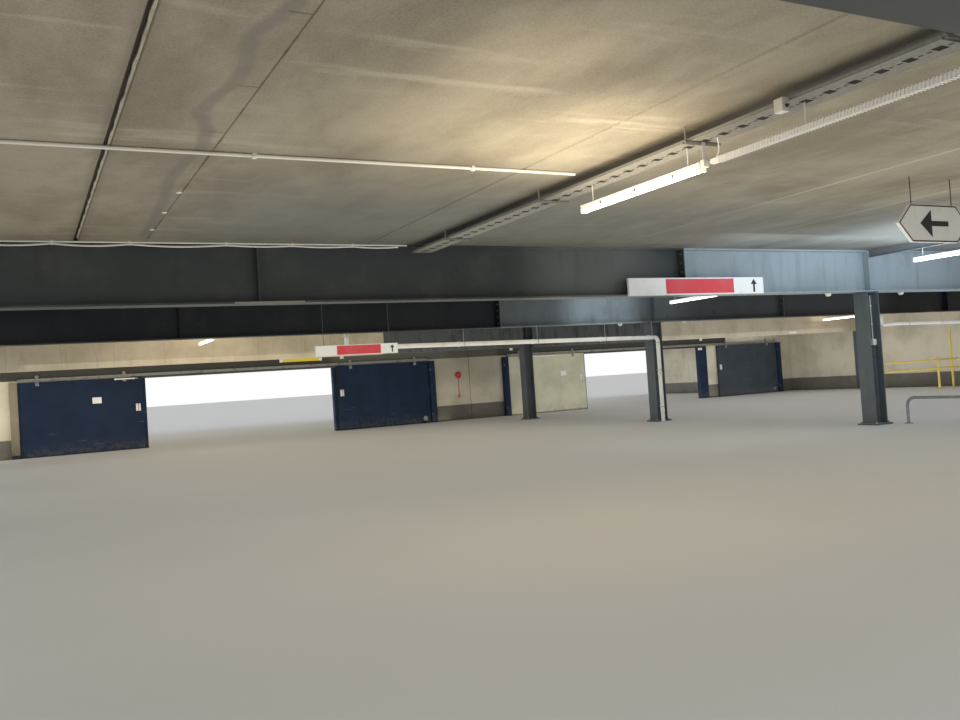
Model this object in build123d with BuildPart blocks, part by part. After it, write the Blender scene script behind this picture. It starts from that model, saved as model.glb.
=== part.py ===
"""Two-span block of a multi storey car park: a covered parking level under an open parking deck.

The frame is steel H-columns and plate girders, the deck is precast concrete planks with a topping,
and a cross wall has two wide doorways, each closed by a pair of sliding fire doors.
Units are millimetres. X runs across the spans, Y runs from the open front to the back, Z is up.
The origin is at floor level under the middle of the block.
"""

import os

from build123d import *

os.makedirs("parts", exist_ok=True)

# Grid of the frame
span = 15800
first_bay = 9900
bay = 6600
bay_count = 5
deck_overhang = 300

# Heights
headroom = 2580
girder_depth = 800
plank_thickness = 200
topping_thickness = 60
kerb_height = 250
kerb_width = 200

# Columns
column_size = 320
column_flange = 20
column_web = 12
column_root_radius = 27
base_plate_size = 450
base_plate_thickness = 30
anchor_spacing = 350
anchor_hole_radius = 15
cap_plate_size = 340
cap_plate_thickness = 20

# Girders
girder_width = 300
girder_flange = 25
girder_web = 15
splice_from_middle = 4600
splice_plate = 20
splice_gap = 0.5
stiffener_thickness = 15
stiffener_spacing = 3950

# Boards round the girder in front of the fire wall
casing_bottom = 2350
casing_board = 40
casing_clearance = 15
casing_end_gap = 15

# Ties along the column lines
tie_depth = 140
tie_width = 74
tie_flange = 7
tie_web = 5

# Deck planks, from the middle column line outwards
plank_widths = [4140, 2080, 4090, 3740, 1750]
plank_joint = 15
movement_joint = 45
plank_arris = 12
edge_joint = 15

# Fire wall and its doorways
wall_front = 8590
wall_thickness = 200
wall_joint = 15
wall_joint_x = -280
tie_notch_clearance = 20
doorway_from_middle = [5390, 4750]
doorway_from_side = [4485, 5320]
doorway_height = 2120
door_post_width = 420

# Sliding fire doors
leaf_width = 3350
leaf_thickness = 80
leaf_height = 2150
leaf_floor_gap = 10
leaf_wall_gap = 30
leaf_stand_off = [100, 100, 100, 920]
leaf_groove_width = 8
leaf_groove_depth = 4
cassettes_per_leaf = 3
handle_height = 1250
handle_length = 300
handle_radius = 9
handle_reach = 55
handle_foot_radius = 7
handle_foot_inset = 27
handle_from_edge = 150
stop_disc_radius = 80
stop_disc_thickness = 25
stop_disc_inset = 220
stop_disc_height = 170

# Rail and hangers of the fire doors
rail_thickness = 12
rail_height = 80
rail_above_leaf = 25
rail_bracket_width = 50
rail_bracket_height = 40
rail_bracket_count = 8
wheel_radius = 50
wheel_groove_depth = 5
wheel_width = 30
wheel_groove_width = 16
wheel_seat = 0.3
axle_radius = 10
hanger_strap_thickness = 8
hanger_strap_width = 60
hanger_inset = 500
strap_gap = 5

# Closing weight boxes at the outer end of each leaf
weight_box_width = 210
weight_box_depth = 180
weight_box_gap = 20
weight_box_chamfer = 6

# Side wall on the right
side_wall_thickness = 150
plate_clearance = 1

# Edge guard rails on the deck
guard_height = 1000
guard_post = 60
guard_post_spacing = 2400
guard_rail_radius = 24
guard_rail_count = 3
guard_rail_drop = 36

# Cable tray under the deck
tray_x = -9500
tray_width = 300
tray_side = 60
tray_sheet = 4
tray_bottom = 3260
tray_hanger_spacing = 2400
tray_end_gap = 50
tray_rod_gap = 25
tray_rod_radius = 6
tray_bar_height = 21
tray_bar_width = 41
tray_bar_past_rod = 20
junction_box_y = -15455
junction_box_size = (80, 120, 140)
junction_box_lap = 30
junction_box_chamfer = 8

# Lamps: place of the middle of each, the height is of the underside
lamp_length = 1800
lamp_width = 70
housing_height = 45
tube_height = 35
tube_roundness = 0.6
tube_inset = 5
lamp_rod_radius = 5
lamp_rod_spacing = 1440
lamp_places = [
    (-9500, -13480, 3010),
    (9500, -13480, 3010),
    (200, -10120, 3030),
    (200, -3100, 3000),
    (-10400, 3380, 2800),
    (13300, 3600, 2800),
    (200, 10000, 3000),
    (-9500, 14800, 3010),
    (9500, 14800, 3010),
]
trunking_width = 45
trunking_height = 40
trunking_gap = 120

# Conduits fixed under the deck
conduit_radius = 12
conduit_y = -12770
girder_conduit_gap = 0.3
conduit_tray_gap = 60

# Drain pipes from the deck to the floor, one in each span
drain_radius = 50
drain_bend = 110
drain_x = -8300
drain_foot_x = -90
second_drain_x = 9100
drain_clearance = 8
drain_high = 2245
drain_low = 2170

# Signs
sign_thickness = 40
girder_sign_x = -4360
girder_sign_size = (2970, 290)
hanging_sign_x = -8265
hanging_sign_gap = 20
hanging_sign_bottom = 2090
hanging_sign_size = (1850, 220)
hanging_sign_rod_spacing = 1480
height_bar_x = -6460
height_bar_bottom = 2380
height_bar_size = (1420, 140)
height_bar_thickness = 60
arrow_sign_tip_x = -5800
arrow_sign_y = -13420
arrow_sign_middle = 2840
arrow_sign_length = 1250
arrow_sign_height = 440
arrow_sign_rod_inset = 264
sign_rod_radius = 6

# Alarm bell, its conduit and call point on the fire wall
bell_x = -740
bell_height = 1610
bell_radius = 90
bell_depth = 60
bell_rounding = 20
call_point_height = 850
call_point_size = 90
call_point_depth = 40
bell_conduit_radius = 8

# Round detectors under the girders
detector_x = 1030
detector_radius = 60
detector_height = 55
detector_taper = 15
detector_lines = [1, 2, 4]

# Guards standing on the floor
hoop_x = 300
hoop_y = -8760
hoop_length = 1500
hoop_height = 520
hoop_radius = 27
hoop_bend = 150
barrier_y = 300
barrier_post_from_side = 900
barrier_post_spacing = 770
barrier_rails = [720, 1020]
barrier_rail_length = 3800
barrier_rail_past_post = 350
barrier_post_radius = 38
barrier_rail_radius = 30
barrier_post_height = 1120
barrier_tall_post_height = 2130

# Worked out from the sizes above
bay_lengths = [first_bay] + [bay] * (bay_count - 1)
block_length = sum(bay_lengths)
line_y = [-block_length / 2 + sum(bay_lengths[:i]) for i in range(bay_count + 1)]
soffit = headroom + girder_depth
deck_top = soffit + plank_thickness + topping_thickness
half_width = span + deck_overhang
half_length = block_length / 2 + deck_overhang
wall_back = wall_front + wall_thickness
doorways = [
    (doorway_from_side[0] - span, -doorway_from_middle[0]),
    (doorway_from_middle[1], span - doorway_from_side[1]),
]
leaf_count = len(leaf_stand_off)
side_wall_face = span - side_wall_thickness / 2
leaf_top = leaf_floor_gap + leaf_height
leaf_front = wall_front - leaf_wall_gap - leaf_thickness
rail_y = wall_front - leaf_wall_gap - leaf_thickness / 2
rail_top = leaf_top + rail_above_leaf + rail_height
cased_girder = 3
drain_line = line_y[2]
drain_y = drain_line - base_plate_size / 2 - drain_clearance - drain_radius
second_drain_foot_x = side_wall_face - drain_clearance - drain_radius
drain_riser_y = drain_line + girder_width / 2 + drain_clearance + drain_radius
hanging_sign_y = drain_y - drain_radius - hanging_sign_gap - sign_thickness / 2


def save(part, name):
    """Label a finished part and write it to its own file."""
    part.label = name
    export_step(part, f"parts/{name}.step")


def h_profile(width, depth, flange, web, root_radius):
    """Draw a rolled or welded H in the open sketch, flanges along the sketch's X."""
    with Locations((0, (depth - flange) / 2), (0, -(depth - flange) / 2)):
        Rectangle(width, flange)
    Rectangle(web, depth)
    if root_radius > 0:
        inner_y = depth / 2 - flange
        roots = [
            v
            for v in vertices()
            if abs(abs(v.Y) - inner_y) < 0.01 and abs(abs(v.X) - web / 2) < 0.01
        ]
        fillet(roots, radius=root_radius)


def across(x, y, z):
    """Plane facing +X with its own X along Y, for profiles that run along the spans."""
    return Plane(origin=(x, y, z), x_dir=(0, 1, 0), z_dir=(1, 0, 0))


def along(x, y, z):
    """Plane facing -Y with its own X along X, for faces seen from the front."""
    return Plane(origin=(x, y, z), x_dir=(1, 0, 0), z_dir=(0, -1, 0))


def blocks(outlines, z_range):
    """Extrude upright blocks in the open part, each outline a pair of X and Y limits."""
    with BuildSketch(Plane.XY.offset(z_range[0])) as plan:
        for x_range, y_range in outlines:
            with Locations(((x_range[0] + x_range[1]) / 2, (y_range[0] + y_range[1]) / 2)):
                Rectangle(x_range[1] - x_range[0], y_range[1] - y_range[0])
    extrude(plan.sketch, amount=z_range[1] - z_range[0])


def block(x_range, y_range, z_range):
    """Extrude one upright block between the given limits in the open part."""
    blocks([(x_range, y_range)], z_range)


def column_row(x):
    """One row of H-columns with base and cap plates, a column on each girder line."""
    shaft = headroom - base_plate_thickness - cap_plate_thickness
    places = [(x, y) for y in line_y]
    with BuildSketch() as section:
        h_profile(column_size, column_size, column_flange, column_web, column_root_radius)
    with BuildPart() as row:
        with BuildSketch(Plane.XY):
            with Locations(*places):
                Rectangle(base_plate_size, base_plate_size)
                with GridLocations(anchor_spacing, anchor_spacing, 2, 2):
                    Circle(anchor_hole_radius, mode=Mode.SUBTRACT)
        extrude(amount=base_plate_thickness)
        plane = Plane(origin=(x, 0, base_plate_thickness), x_dir=(0, 1, 0), z_dir=(0, 0, 1))
        with BuildSketch(plane):
            with Locations(*[(y, 0) for y in line_y]):
                add(section.sketch)
        extrude(amount=shaft)
        with BuildSketch(Plane.XY.offset(headroom - cap_plate_thickness)):
            with Locations(*places):
                Rectangle(cap_plate_size, cap_plate_size)
        extrude(amount=cap_plate_thickness)
    return row.part


def girder_piece(x_start, x_end, y, stiffener_places, splice_ends):
    """One length of plate girder with its stiffeners, and end plates where it is spliced."""
    z_middle = headroom + girder_depth / 2
    with BuildSketch(across(x_start, y, z_middle)) as section:
        h_profile(girder_width, girder_depth, girder_flange, girder_web, 0)
    extrude(section.sketch, amount=x_end - x_start)
    for x in stiffener_places:
        with BuildSketch(across(x - stiffener_thickness / 2, y, z_middle)) as stiffener:
            Rectangle(girder_width - 2 * girder_web, girder_depth - 2 * girder_flange)
        extrude(stiffener.sketch, amount=stiffener_thickness)
    for x in splice_ends:
        with BuildSketch(across(x, y, z_middle)) as end_plate:
            Rectangle(girder_width, girder_depth)
        extrude(end_plate.sketch, amount=splice_plate)


def girder_line(y):
    """A girder over both spans: a middle length over the column and two outer lengths."""
    end = span + column_size / 2
    half_gap = splice_gap / 2
    inner_end = splice_from_middle - half_gap
    outer_start = splice_from_middle + half_gap
    outer_stiffeners = [span - stiffener_spacing, span]
    with BuildPart() as line:
        girder_piece(-inner_end, inner_end, y, [0], [-inner_end, inner_end - splice_plate])
        girder_piece(outer_start, end, y, outer_stiffeners, [outer_start])
        girder_piece(
            -end,
            -outer_start,
            y,
            [-x for x in outer_stiffeners],
            [-outer_start - splice_plate],
        )
    return line.part


def deck_bay(index):
    """The planks of one bay, each from girder to girder with open joints between them."""
    y_start = line_y[index] + plank_joint / 2
    y_end = line_y[index + 1] - plank_joint / 2
    if index == 0:
        y_start = -half_length
    if index == bay_count - 1:
        y_end = half_length
    outlines = []
    with BuildPart() as planks:
        for side in (-1, 1):
            inner = 0
            for number, width in enumerate(plank_widths):
                outer = inner + width
                last = number == len(plank_widths) - 1
                inner_joint = movement_joint if last else plank_joint
                outer_joint = movement_joint if number == len(plank_widths) - 2 else plank_joint
                low = inner + inner_joint / 2
                high = outer + deck_overhang if last else outer - outer_joint / 2
                x_range = (low, high) if side > 0 else (-high, -low)
                outlines.append((x_range, (y_start, y_end)))
                inner = outer
        blocks(outlines, (soffit, soffit + plank_thickness))
        under = planks.edges().filter_by(Axis.Y).group_by(Axis.Z)[0]
        chamfer(under, length=plank_arris)
    return planks.part


def deck_kerb():
    """Four lengths of upstand kerb round the edge of the deck, with joints at the corners."""
    z_range = (soffit + plank_thickness, deck_top + kerb_height)
    inner_length = half_length - kerb_width - edge_joint
    outlines = []
    for side in (-1, 1):
        y_edges = sorted((side * half_length, side * (half_length - kerb_width)))
        outlines.append(((-half_width, half_width), y_edges))
        x_edges = sorted((side * half_width, side * (half_width - kerb_width)))
        outlines.append((x_edges, (-inner_length, inner_length)))
    with BuildPart() as kerb:
        blocks(outlines, z_range)
        tops = kerb.edges().group_by(Axis.Z)[-1]
        chamfer(tops, length=plank_arris)
    return kerb.part


def edge_guard(middle, length, along_x):
    """Posts and round rails that stand on one length of kerb."""
    foot = deck_top + kerb_height
    gaps = round(length / guard_post_spacing)
    reach = length - guard_post
    turn = (1, 0, 0) if along_x else (0, 1, 0)
    other = (0, 1, 0) if along_x else (1, 0, 0)
    post_plane = Plane(origin=(middle[0], middle[1], foot), x_dir=turn, z_dir=(0, 0, 1))
    step = reach / gaps
    with BuildPart() as guard:
        with BuildSketch(post_plane):
            with GridLocations(step, 1, gaps + 1, 1):
                Rectangle(guard_post, guard_post)
        extrude(amount=guard_height)
        for number in range(guard_rail_count):
            height = foot + guard_height * (number + 1) / guard_rail_count - guard_rail_drop
            rail_plane = Plane(
                origin=(middle[0], middle[1], height),
                x_dir=other,
                z_dir=turn,
            )
            with BuildSketch(rail_plane):
                Circle(guard_rail_radius)
            extrude(amount=reach / 2, both=True)
    return guard.part


def column_ties():
    """Light I-beams under the deck along the column lines, between the girders."""
    z_middle = soffit - tie_depth / 2
    with BuildSketch() as section:
        h_profile(tie_width, tie_depth, tie_flange, tie_web, 0)
    with BuildPart() as ties:
        for index in range(bay_count):
            start = line_y[index] + girder_width / 2
            length = line_y[index + 1] - girder_width / 2 - start
            plane = Plane(origin=(0, start, z_middle), x_dir=(-1, 0, 0), z_dir=(0, 1, 0))
            with BuildSketch(plane):
                with Locations((-span, 0), (0, 0), (span, 0)):
                    add(section.sketch)
            extrude(amount=length)
    return ties.part


def girder_casing():
    """Fire boards on both sides of and below the cased girder, one length in each span."""
    y = line_y[cased_girder]
    inner = girder_width + 2 * casing_clearance
    depth = soffit - casing_bottom
    start = cap_plate_size / 2 + casing_end_gap
    with BuildPart() as casing:
        for x in (-span + start, start):
            with BuildSketch(across(x, y, casing_bottom + depth / 2)):
                Rectangle(inner + 2 * casing_board, depth)
                with Locations((0, casing_board / 2)):
                    Rectangle(inner, depth - casing_board, mode=Mode.SUBTRACT)
            extrude(amount=span - 2 * start)
    return casing.part


def wall_piece(ranges):
    """Full height lengths of the fire wall, notched round the ties on the column lines."""
    notch = tie_width + 2 * tie_notch_clearance
    notch_floor = soffit - tie_depth - tie_notch_clearance
    with BuildPart() as wall:
        blocks([(x_range, (wall_front, wall_back)) for x_range in ranges], (0, soffit))
        for x in (-span, 0, span):
            with BuildSketch(Plane.XY.offset(notch_floor)):
                with Locations((x, (wall_front + wall_back) / 2)):
                    Rectangle(notch, wall_thickness)
            extrude(amount=soffit - notch_floor, mode=Mode.SUBTRACT)
    return wall.part


def wall_lintel(doorway):
    """The length of fire wall over one doorway and its two posts."""
    left, right = doorway
    x_range = (left - door_post_width, right + door_post_width)
    with BuildPart() as lintel:
        block(x_range, (wall_front, wall_back), (doorway_height, soffit))
    return lintel.part


def door_posts():
    """Closed steel posts in the fire wall at both sides of each doorway."""
    outlines = []
    for left, right in doorways:
        outlines.append(((left - door_post_width, left), (wall_front, wall_back)))
        outlines.append(((right, right + door_post_width), (wall_front, wall_back)))
    with BuildPart() as posts:
        blocks(outlines, (0, doorway_height))
    return posts.part


def side_wall():
    """Plain panels between the columns of the right row, up to the tie."""
    half = side_wall_thickness / 2
    x_range = (span - half, span + half)
    outlines = []
    for index in range(bay_count):
        near = line_y[index] + column_size / 2
        far = line_y[index + 1] - column_size / 2
        outlines.append((x_range, (near, far)))
    columns = [(span, y) for y in line_y]
    cap_foot = headroom - cap_plate_thickness - plate_clearance
    with BuildPart() as wall:
        blocks(outlines, (0, soffit - tie_depth))
        with BuildSketch(Plane.XY):
            with Locations(*columns):
                Rectangle(*[base_plate_size + 2 * plate_clearance] * 2)
        extrude(amount=base_plate_thickness + plate_clearance, mode=Mode.SUBTRACT)
        with BuildSketch(Plane.XY.offset(cap_foot)):
            with Locations(*columns):
                Rectangle(*[cap_plate_size + 2 * plate_clearance] * 2)
        extrude(amount=cap_plate_thickness + 2 * plate_clearance, mode=Mode.SUBTRACT)
    return wall.part


def leaf_edges(number):
    """Return the left edge of a leaf at rest, left to right, and the way it closes."""
    left, right = doorways[number // 2]
    if number % 2 == 0:
        return left - leaf_stand_off[number] - leaf_width, 1
    return right + leaf_stand_off[number], -1


def fire_door_leaf(number):
    """A leaf of three cassettes with its bow handle and, on some leaves, a stop disc."""
    left, closes = leaf_edges(number)
    x_middle = left + leaf_width / 2
    leading = x_middle + closes * leaf_width / 2
    trailing = x_middle - closes * leaf_width / 2
    handle_x = leading - closes * handle_from_edge
    handle_y = leaf_front - handle_reach
    half_handle = handle_length / 2
    with BuildPart() as leaf:
        block(
            (left, left + leaf_width),
            (leaf_front, leaf_front + leaf_thickness),
            (leaf_floor_gap, leaf_top),
        )
        cassette = leaf_width / cassettes_per_leaf
        with BuildSketch(Plane.XY.offset(leaf_floor_gap)):
            for y in (leaf_front, leaf_front + leaf_thickness):
                with Locations((x_middle, y)):
                    with GridLocations(cassette, 1, cassettes_per_leaf - 1, 1):
                        Rectangle(leaf_groove_width, 2 * leaf_groove_depth)
        extrude(amount=leaf_height, mode=Mode.SUBTRACT)
        with BuildSketch(Plane.XY.offset(handle_height - half_handle)):
            with Locations((handle_x, handle_y)):
                Circle(handle_radius)
        extrude(amount=handle_length)
        inset = half_handle - handle_foot_inset
        for z in (handle_height - inset, handle_height + inset):
            with BuildSketch(along(handle_x, leaf_front, z)):
                Circle(handle_foot_radius)
            extrude(amount=handle_reach)
        if closes < 0:
            disc_x = trailing + closes * stop_disc_inset
            with BuildSketch(along(disc_x, leaf_front, stop_disc_height)):
                Circle(stop_disc_radius)
            extrude(amount=stop_disc_thickness)
    return leaf.part


def fire_door_hangers(number):
    """Two grooved wheels that ride on the rail, each on an axle through a strap to the leaf."""
    left, _ = leaf_edges(number)
    axle_z = rail_top + wheel_radius - wheel_groove_depth + wheel_seat
    strap_y = rail_y - wheel_width / 2 - strap_gap
    strap_top = axle_z + hanger_strap_width / 2
    with BuildPart() as hangers:
        for x in (left + hanger_inset, left + leaf_width - hanger_inset):
            with BuildSketch(Plane(origin=(x, rail_y, axle_z), x_dir=(0, 1, 0), z_dir=(0, 0, 1))):
                with BuildLine():
                    half = wheel_width / 2
                    groove = wheel_groove_width / 2
                    floor = wheel_radius - wheel_groove_depth
                    Polyline(
                        (-half, 0),
                        (-half, wheel_radius),
                        (-groove, wheel_radius),
                        (-groove, floor),
                        (groove, floor),
                        (groove, wheel_radius),
                        (half, wheel_radius),
                        (half, 0),
                        close=True,
                    )
                make_face()
            revolve(axis=Axis((x, rail_y, axle_z), (0, 1, 0)))
            with BuildSketch(along(x, strap_y, (leaf_top + strap_top) / 2)):
                Rectangle(hanger_strap_width, strap_top - leaf_top)
            extrude(amount=hanger_strap_thickness)
            with BuildSketch(along(x, rail_y, axle_z)):
                Circle(axle_radius)
            extrude(amount=rail_y - strap_y + 2 * hanger_strap_thickness)
    return hangers.part


def door_rails():
    """The flat rails over the doorways, stood off the wall on brackets."""
    with BuildPart() as rails:
        for number in range(0, leaf_count, 2):
            start = leaf_edges(number)[0]
            end = leaf_edges(number + 1)[0] + leaf_width
            z_range = (rail_top - rail_height, rail_top)
            block((start, end), (rail_y - rail_thickness / 2, rail_y + rail_thickness / 2), z_range)
            step = (end - start - rail_bracket_width) / (rail_bracket_count - 1)
            bracket_z = rail_top - rail_height + rail_bracket_height / 2
            with BuildSketch(along((start + end) / 2, wall_front, bracket_z)):
                with GridLocations(step, 1, rail_bracket_count, 1):
                    Rectangle(rail_bracket_width, rail_bracket_height)
            extrude(amount=wall_front - rail_y)
    return rails.part


def weight_boxes():
    """A closed steel box for the closing weight beside the outer end of each leaf."""
    with BuildPart() as boxes:
        for number in range(leaf_count):
            left, closes = leaf_edges(number)
            trailing = left if closes > 0 else left + leaf_width
            near = trailing - closes * weight_box_gap
            far = near - closes * weight_box_width
            x_edges = sorted((near, far))
            block(x_edges, (wall_front - weight_box_depth, wall_front), (0, leaf_top))
        chamfer(boxes.edges().filter_by(Axis.Z), length=weight_box_chamfer)
    return boxes.part


def cable_tray():
    """A trough hung on rods and bars between the first two girders, with a junction box."""
    start = line_y[0] + girder_width / 2 + tray_end_gap
    length = line_y[1] - girder_width / 2 - tray_end_gap - start
    rod_offset = tray_width / 2 + tray_rod_gap
    bar_reach = rod_offset + tray_bar_past_rod
    bar_bottom = tray_bottom - tray_bar_height
    count = round(length / tray_hanger_spacing)
    with BuildPart() as tray:
        plane = Plane(origin=(tray_x, start, tray_bottom), x_dir=(-1, 0, 0), z_dir=(0, 1, 0))
        with BuildSketch(plane):
            with Locations((0, tray_side / 2)):
                Rectangle(tray_width, tray_side)
            with Locations((0, tray_side / 2 + tray_sheet)):
                Rectangle(tray_width - 2 * tray_sheet, tray_side, mode=Mode.SUBTRACT)
        extrude(amount=length)
        for number in range(count):
            y = start + length * (number + 0.5) / count
            block(
                (tray_x - bar_reach, tray_x + bar_reach),
                (y - tray_bar_width / 2, y + tray_bar_width / 2),
                (bar_bottom, tray_bottom),
            )
            with BuildSketch(Plane.XY.offset(bar_bottom)):
                with Locations((tray_x - rod_offset, y), (tray_x + rod_offset, y)):
                    Circle(tray_rod_radius)
            extrude(amount=soffit - bar_bottom)
    return tray.part


def junction_box():
    """A small closed box on the left side of the tray, lapped over its lower edge."""
    width, depth, height = junction_box_size
    tray_face = tray_x - tray_width / 2
    top = tray_bottom + junction_box_lap
    with BuildPart() as box:
        block(
            (tray_face - width, tray_face),
            (junction_box_y - depth / 2, junction_box_y + depth / 2),
            (top - height, top),
        )
        chamfer(box.edges().filter_by(Axis.Z), length=junction_box_chamfer)
    return box.part


def lamp_housings():
    """The upper half of each batten lamp with its two hanging rods."""
    with BuildPart() as housings:
        for x, y, under in lamp_places:
            top = under + tube_height + housing_height
            block(
                (x - lamp_width / 2, x + lamp_width / 2),
                (y - lamp_length / 2, y + lamp_length / 2),
                (under + tube_height, top),
            )
            hung_from = soffit
            if abs(x) < tie_width:
                hung_from = soffit - tie_depth
            if x == tray_x and line_y[0] < y < line_y[1]:
                hung_from = tray_bottom
            with BuildSketch(Plane.XY.offset(top)):
                with Locations((x, y)):
                    with GridLocations(1, lamp_rod_spacing, 1, 2):
                        Circle(lamp_rod_radius)
            extrude(amount=hung_from - top)
    return housings.part


def lamp_trunking():
    """A narrow duct in line with the first lamp, hung under the tray up to the front girder."""
    lamp_x, lamp_y, under = lamp_places[0]
    end = lamp_y - lamp_length / 2 - trunking_gap
    start = line_y[0] + girder_width / 2 + tray_end_gap
    bottom = under + tube_height
    top = bottom + trunking_height
    with BuildPart() as duct:
        block(
            (lamp_x - trunking_width / 2, lamp_x + trunking_width / 2),
            (start, end),
            (bottom, top),
        )
        with BuildSketch(Plane.XY.offset(top)):
            with Locations((lamp_x, (start + end) / 2)):
                with GridLocations(1, lamp_rod_spacing, 1, 2):
                    Circle(lamp_rod_radius)
        extrude(amount=tray_bottom - top)
    return duct.part


def lamp_tubes():
    """The rounded light strip under each lamp housing."""
    with BuildPart() as tubes:
        for x, y, under in lamp_places:
            start = y - lamp_length / 2
            plane = Plane(origin=(x, start, under), x_dir=(-1, 0, 0), z_dir=(0, 1, 0))
            with BuildSketch(plane):
                with Locations((0, tube_height / 2)):
                    Rectangle(lamp_width - 2 * tube_inset, tube_height)
                fillet(vertices().group_by(Axis.Y)[0], radius=tube_height * tube_roundness)
            extrude(amount=lamp_length)
    return tubes.part


def ceiling_conduits():
    """Two round conduits across the first span: one on the deck soffit, one by the girder."""
    start = -span + tie_width / 2
    length = tray_x - tray_width / 2 - conduit_tray_gap - start
    girder_face = line_y[1] - girder_width / 2 - girder_conduit_gap
    with BuildPart() as conduits:
        for y in (conduit_y, girder_face - conduit_radius):
            with BuildSketch(across(start, y, soffit - conduit_radius)):
                Circle(conduit_radius)
            extrude(amount=length)
    return conduits.part


def drain_pipe(riser_x, foot_x):
    """A pipe down from the deck, along below the second inner girder and down to the floor."""
    with BuildPart() as pipe:
        with BuildLine() as path:
            FilletPolyline(
                (riser_x, drain_riser_y, soffit),
                (riser_x, drain_riser_y, drain_high),
                (riser_x, drain_y, drain_high),
                (foot_x, drain_y, drain_low),
                (foot_x, drain_y, 0),
                radius=drain_bend,
            )
        with BuildSketch(Plane(origin=(riser_x, drain_riser_y, soffit), z_dir=(0, 0, -1))):
            Circle(drain_radius)
        sweep(path=path.line)
    return pipe.part


def sign_boards():
    """The board on the girder, the board hung on rods and the bar on the lintel."""
    girder_face = line_y[1] - girder_width / 2
    sign_top = hanging_sign_bottom + hanging_sign_size[1]
    with BuildPart() as boards:
        block(
            (girder_sign_x - girder_sign_size[0] / 2, girder_sign_x + girder_sign_size[0] / 2),
            (girder_face - sign_thickness, girder_face),
            (headroom, headroom + girder_sign_size[1]),
        )
        block(
            (hanging_sign_x - hanging_sign_size[0] / 2, hanging_sign_x + hanging_sign_size[0] / 2),
            (hanging_sign_y - sign_thickness / 2, hanging_sign_y + sign_thickness / 2),
            (hanging_sign_bottom, sign_top),
        )
        with BuildSketch(Plane.XY.offset(sign_top)):
            with Locations((hanging_sign_x, hanging_sign_y)):
                with GridLocations(hanging_sign_rod_spacing, 1, 2, 1):
                    Circle(sign_rod_radius)
        extrude(amount=soffit - sign_top)
        block(
            (height_bar_x - height_bar_size[0] / 2, height_bar_x + height_bar_size[0] / 2),
            (wall_front - height_bar_thickness, wall_front),
            (height_bar_bottom, height_bar_bottom + height_bar_size[1]),
        )
    return boards.part


def arrow_sign():
    """A board with pointed ends hung on two rods near the front of the left span."""
    half = arrow_sign_height / 2
    right = arrow_sign_tip_x + arrow_sign_length
    with BuildPart() as sign:
        with BuildSketch(along(0, arrow_sign_y + sign_thickness / 2, arrow_sign_middle)):
            with BuildLine():
                Polyline(
                    (arrow_sign_tip_x, 0),
                    (arrow_sign_tip_x + half, half),
                    (right - half, half),
                    (right, 0),
                    (right - half, -half),
                    (arrow_sign_tip_x + half, -half),
                    close=True,
                )
            make_face()
        extrude(amount=sign_thickness)
        with BuildSketch(Plane.XY.offset(arrow_sign_middle + half)):
            with Locations(
                (arrow_sign_tip_x + arrow_sign_rod_inset, arrow_sign_y),
                (right - arrow_sign_rod_inset, arrow_sign_y),
            ):
                Circle(sign_rod_radius)
        extrude(amount=soffit - arrow_sign_middle - half)
    return sign.part


def alarm_bell():
    """A round bell on the fire wall with a conduit down to its call point."""
    conduit_bottom = call_point_height + call_point_size / 2
    with BuildPart() as bell:
        with BuildSketch(along(bell_x, wall_front, bell_height)):
            Circle(bell_radius)
        extrude(amount=bell_depth)
        fillet(bell.edges().filter_by(GeomType.CIRCLE).group_by(Axis.Y)[0], radius=bell_rounding)
        with BuildSketch(Plane.XY.offset(conduit_bottom)):
            with Locations((bell_x, wall_front - bell_conduit_radius)):
                Circle(bell_conduit_radius)
        extrude(amount=bell_height - conduit_bottom)
        block(
            (bell_x - call_point_size / 2, bell_x + call_point_size / 2),
            (wall_front - call_point_depth, wall_front),
            (call_point_height - call_point_size / 2, conduit_bottom),
        )
    return bell.part


def detectors():
    """Round detectors under the bottom flanges beside the middle column line."""
    with BuildPart() as heads:
        for index in detector_lines:
            for x in (-detector_x, detector_x):
                with BuildSketch(Plane(origin=(x, line_y[index], headroom), z_dir=(0, 0, -1))):
                    Circle(detector_radius)
                extrude(amount=detector_height, taper=detector_taper)
    return heads.part


def hoop_guard():
    """A bent tube hoop that stands on the floor in front of the middle column."""
    near = hoop_y - hoop_length
    top = hoop_height - hoop_radius
    with BuildPart() as hoop:
        with BuildLine() as path:
            FilletPolyline(
                (hoop_x, hoop_y, 0),
                (hoop_x, hoop_y, top),
                (hoop_x, near, top),
                (hoop_x, near, 0),
                radius=hoop_bend,
            )
        with BuildSketch(Plane(origin=(hoop_x, hoop_y, 0), z_dir=(0, 0, 1))):
            Circle(hoop_radius)
        sweep(path=path.line)
    return hoop.part


def post_barrier():
    """Two round posts near the side wall, one of them tall, with two long rails on them."""
    tall_x = side_wall_face - barrier_post_from_side
    end = tall_x + barrier_rail_past_post
    posts = [
        (tall_x, barrier_tall_post_height),
        (tall_x - barrier_post_spacing, barrier_post_height),
    ]
    with BuildPart() as barrier:
        for x, height in posts:
            with BuildSketch(Plane.XY):
                with Locations((x, barrier_y)):
                    Circle(barrier_post_radius)
            extrude(amount=height)
        for z in barrier_rails:
            with BuildSketch(across(end - barrier_rail_length, barrier_y, z)):
                Circle(barrier_rail_radius)
            extrude(amount=barrier_rail_length)
    return barrier.part


# Frame
save(column_row(-span), "columns_left")
save(column_row(0), "columns_middle")
save(column_row(span), "columns_right")
for line_number, y_place in enumerate(line_y):
    save(girder_line(y_place), f"girder_line_{line_number + 1}")
save(column_ties(), "column_ties")
save(girder_casing(), "girder_casing")

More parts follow.
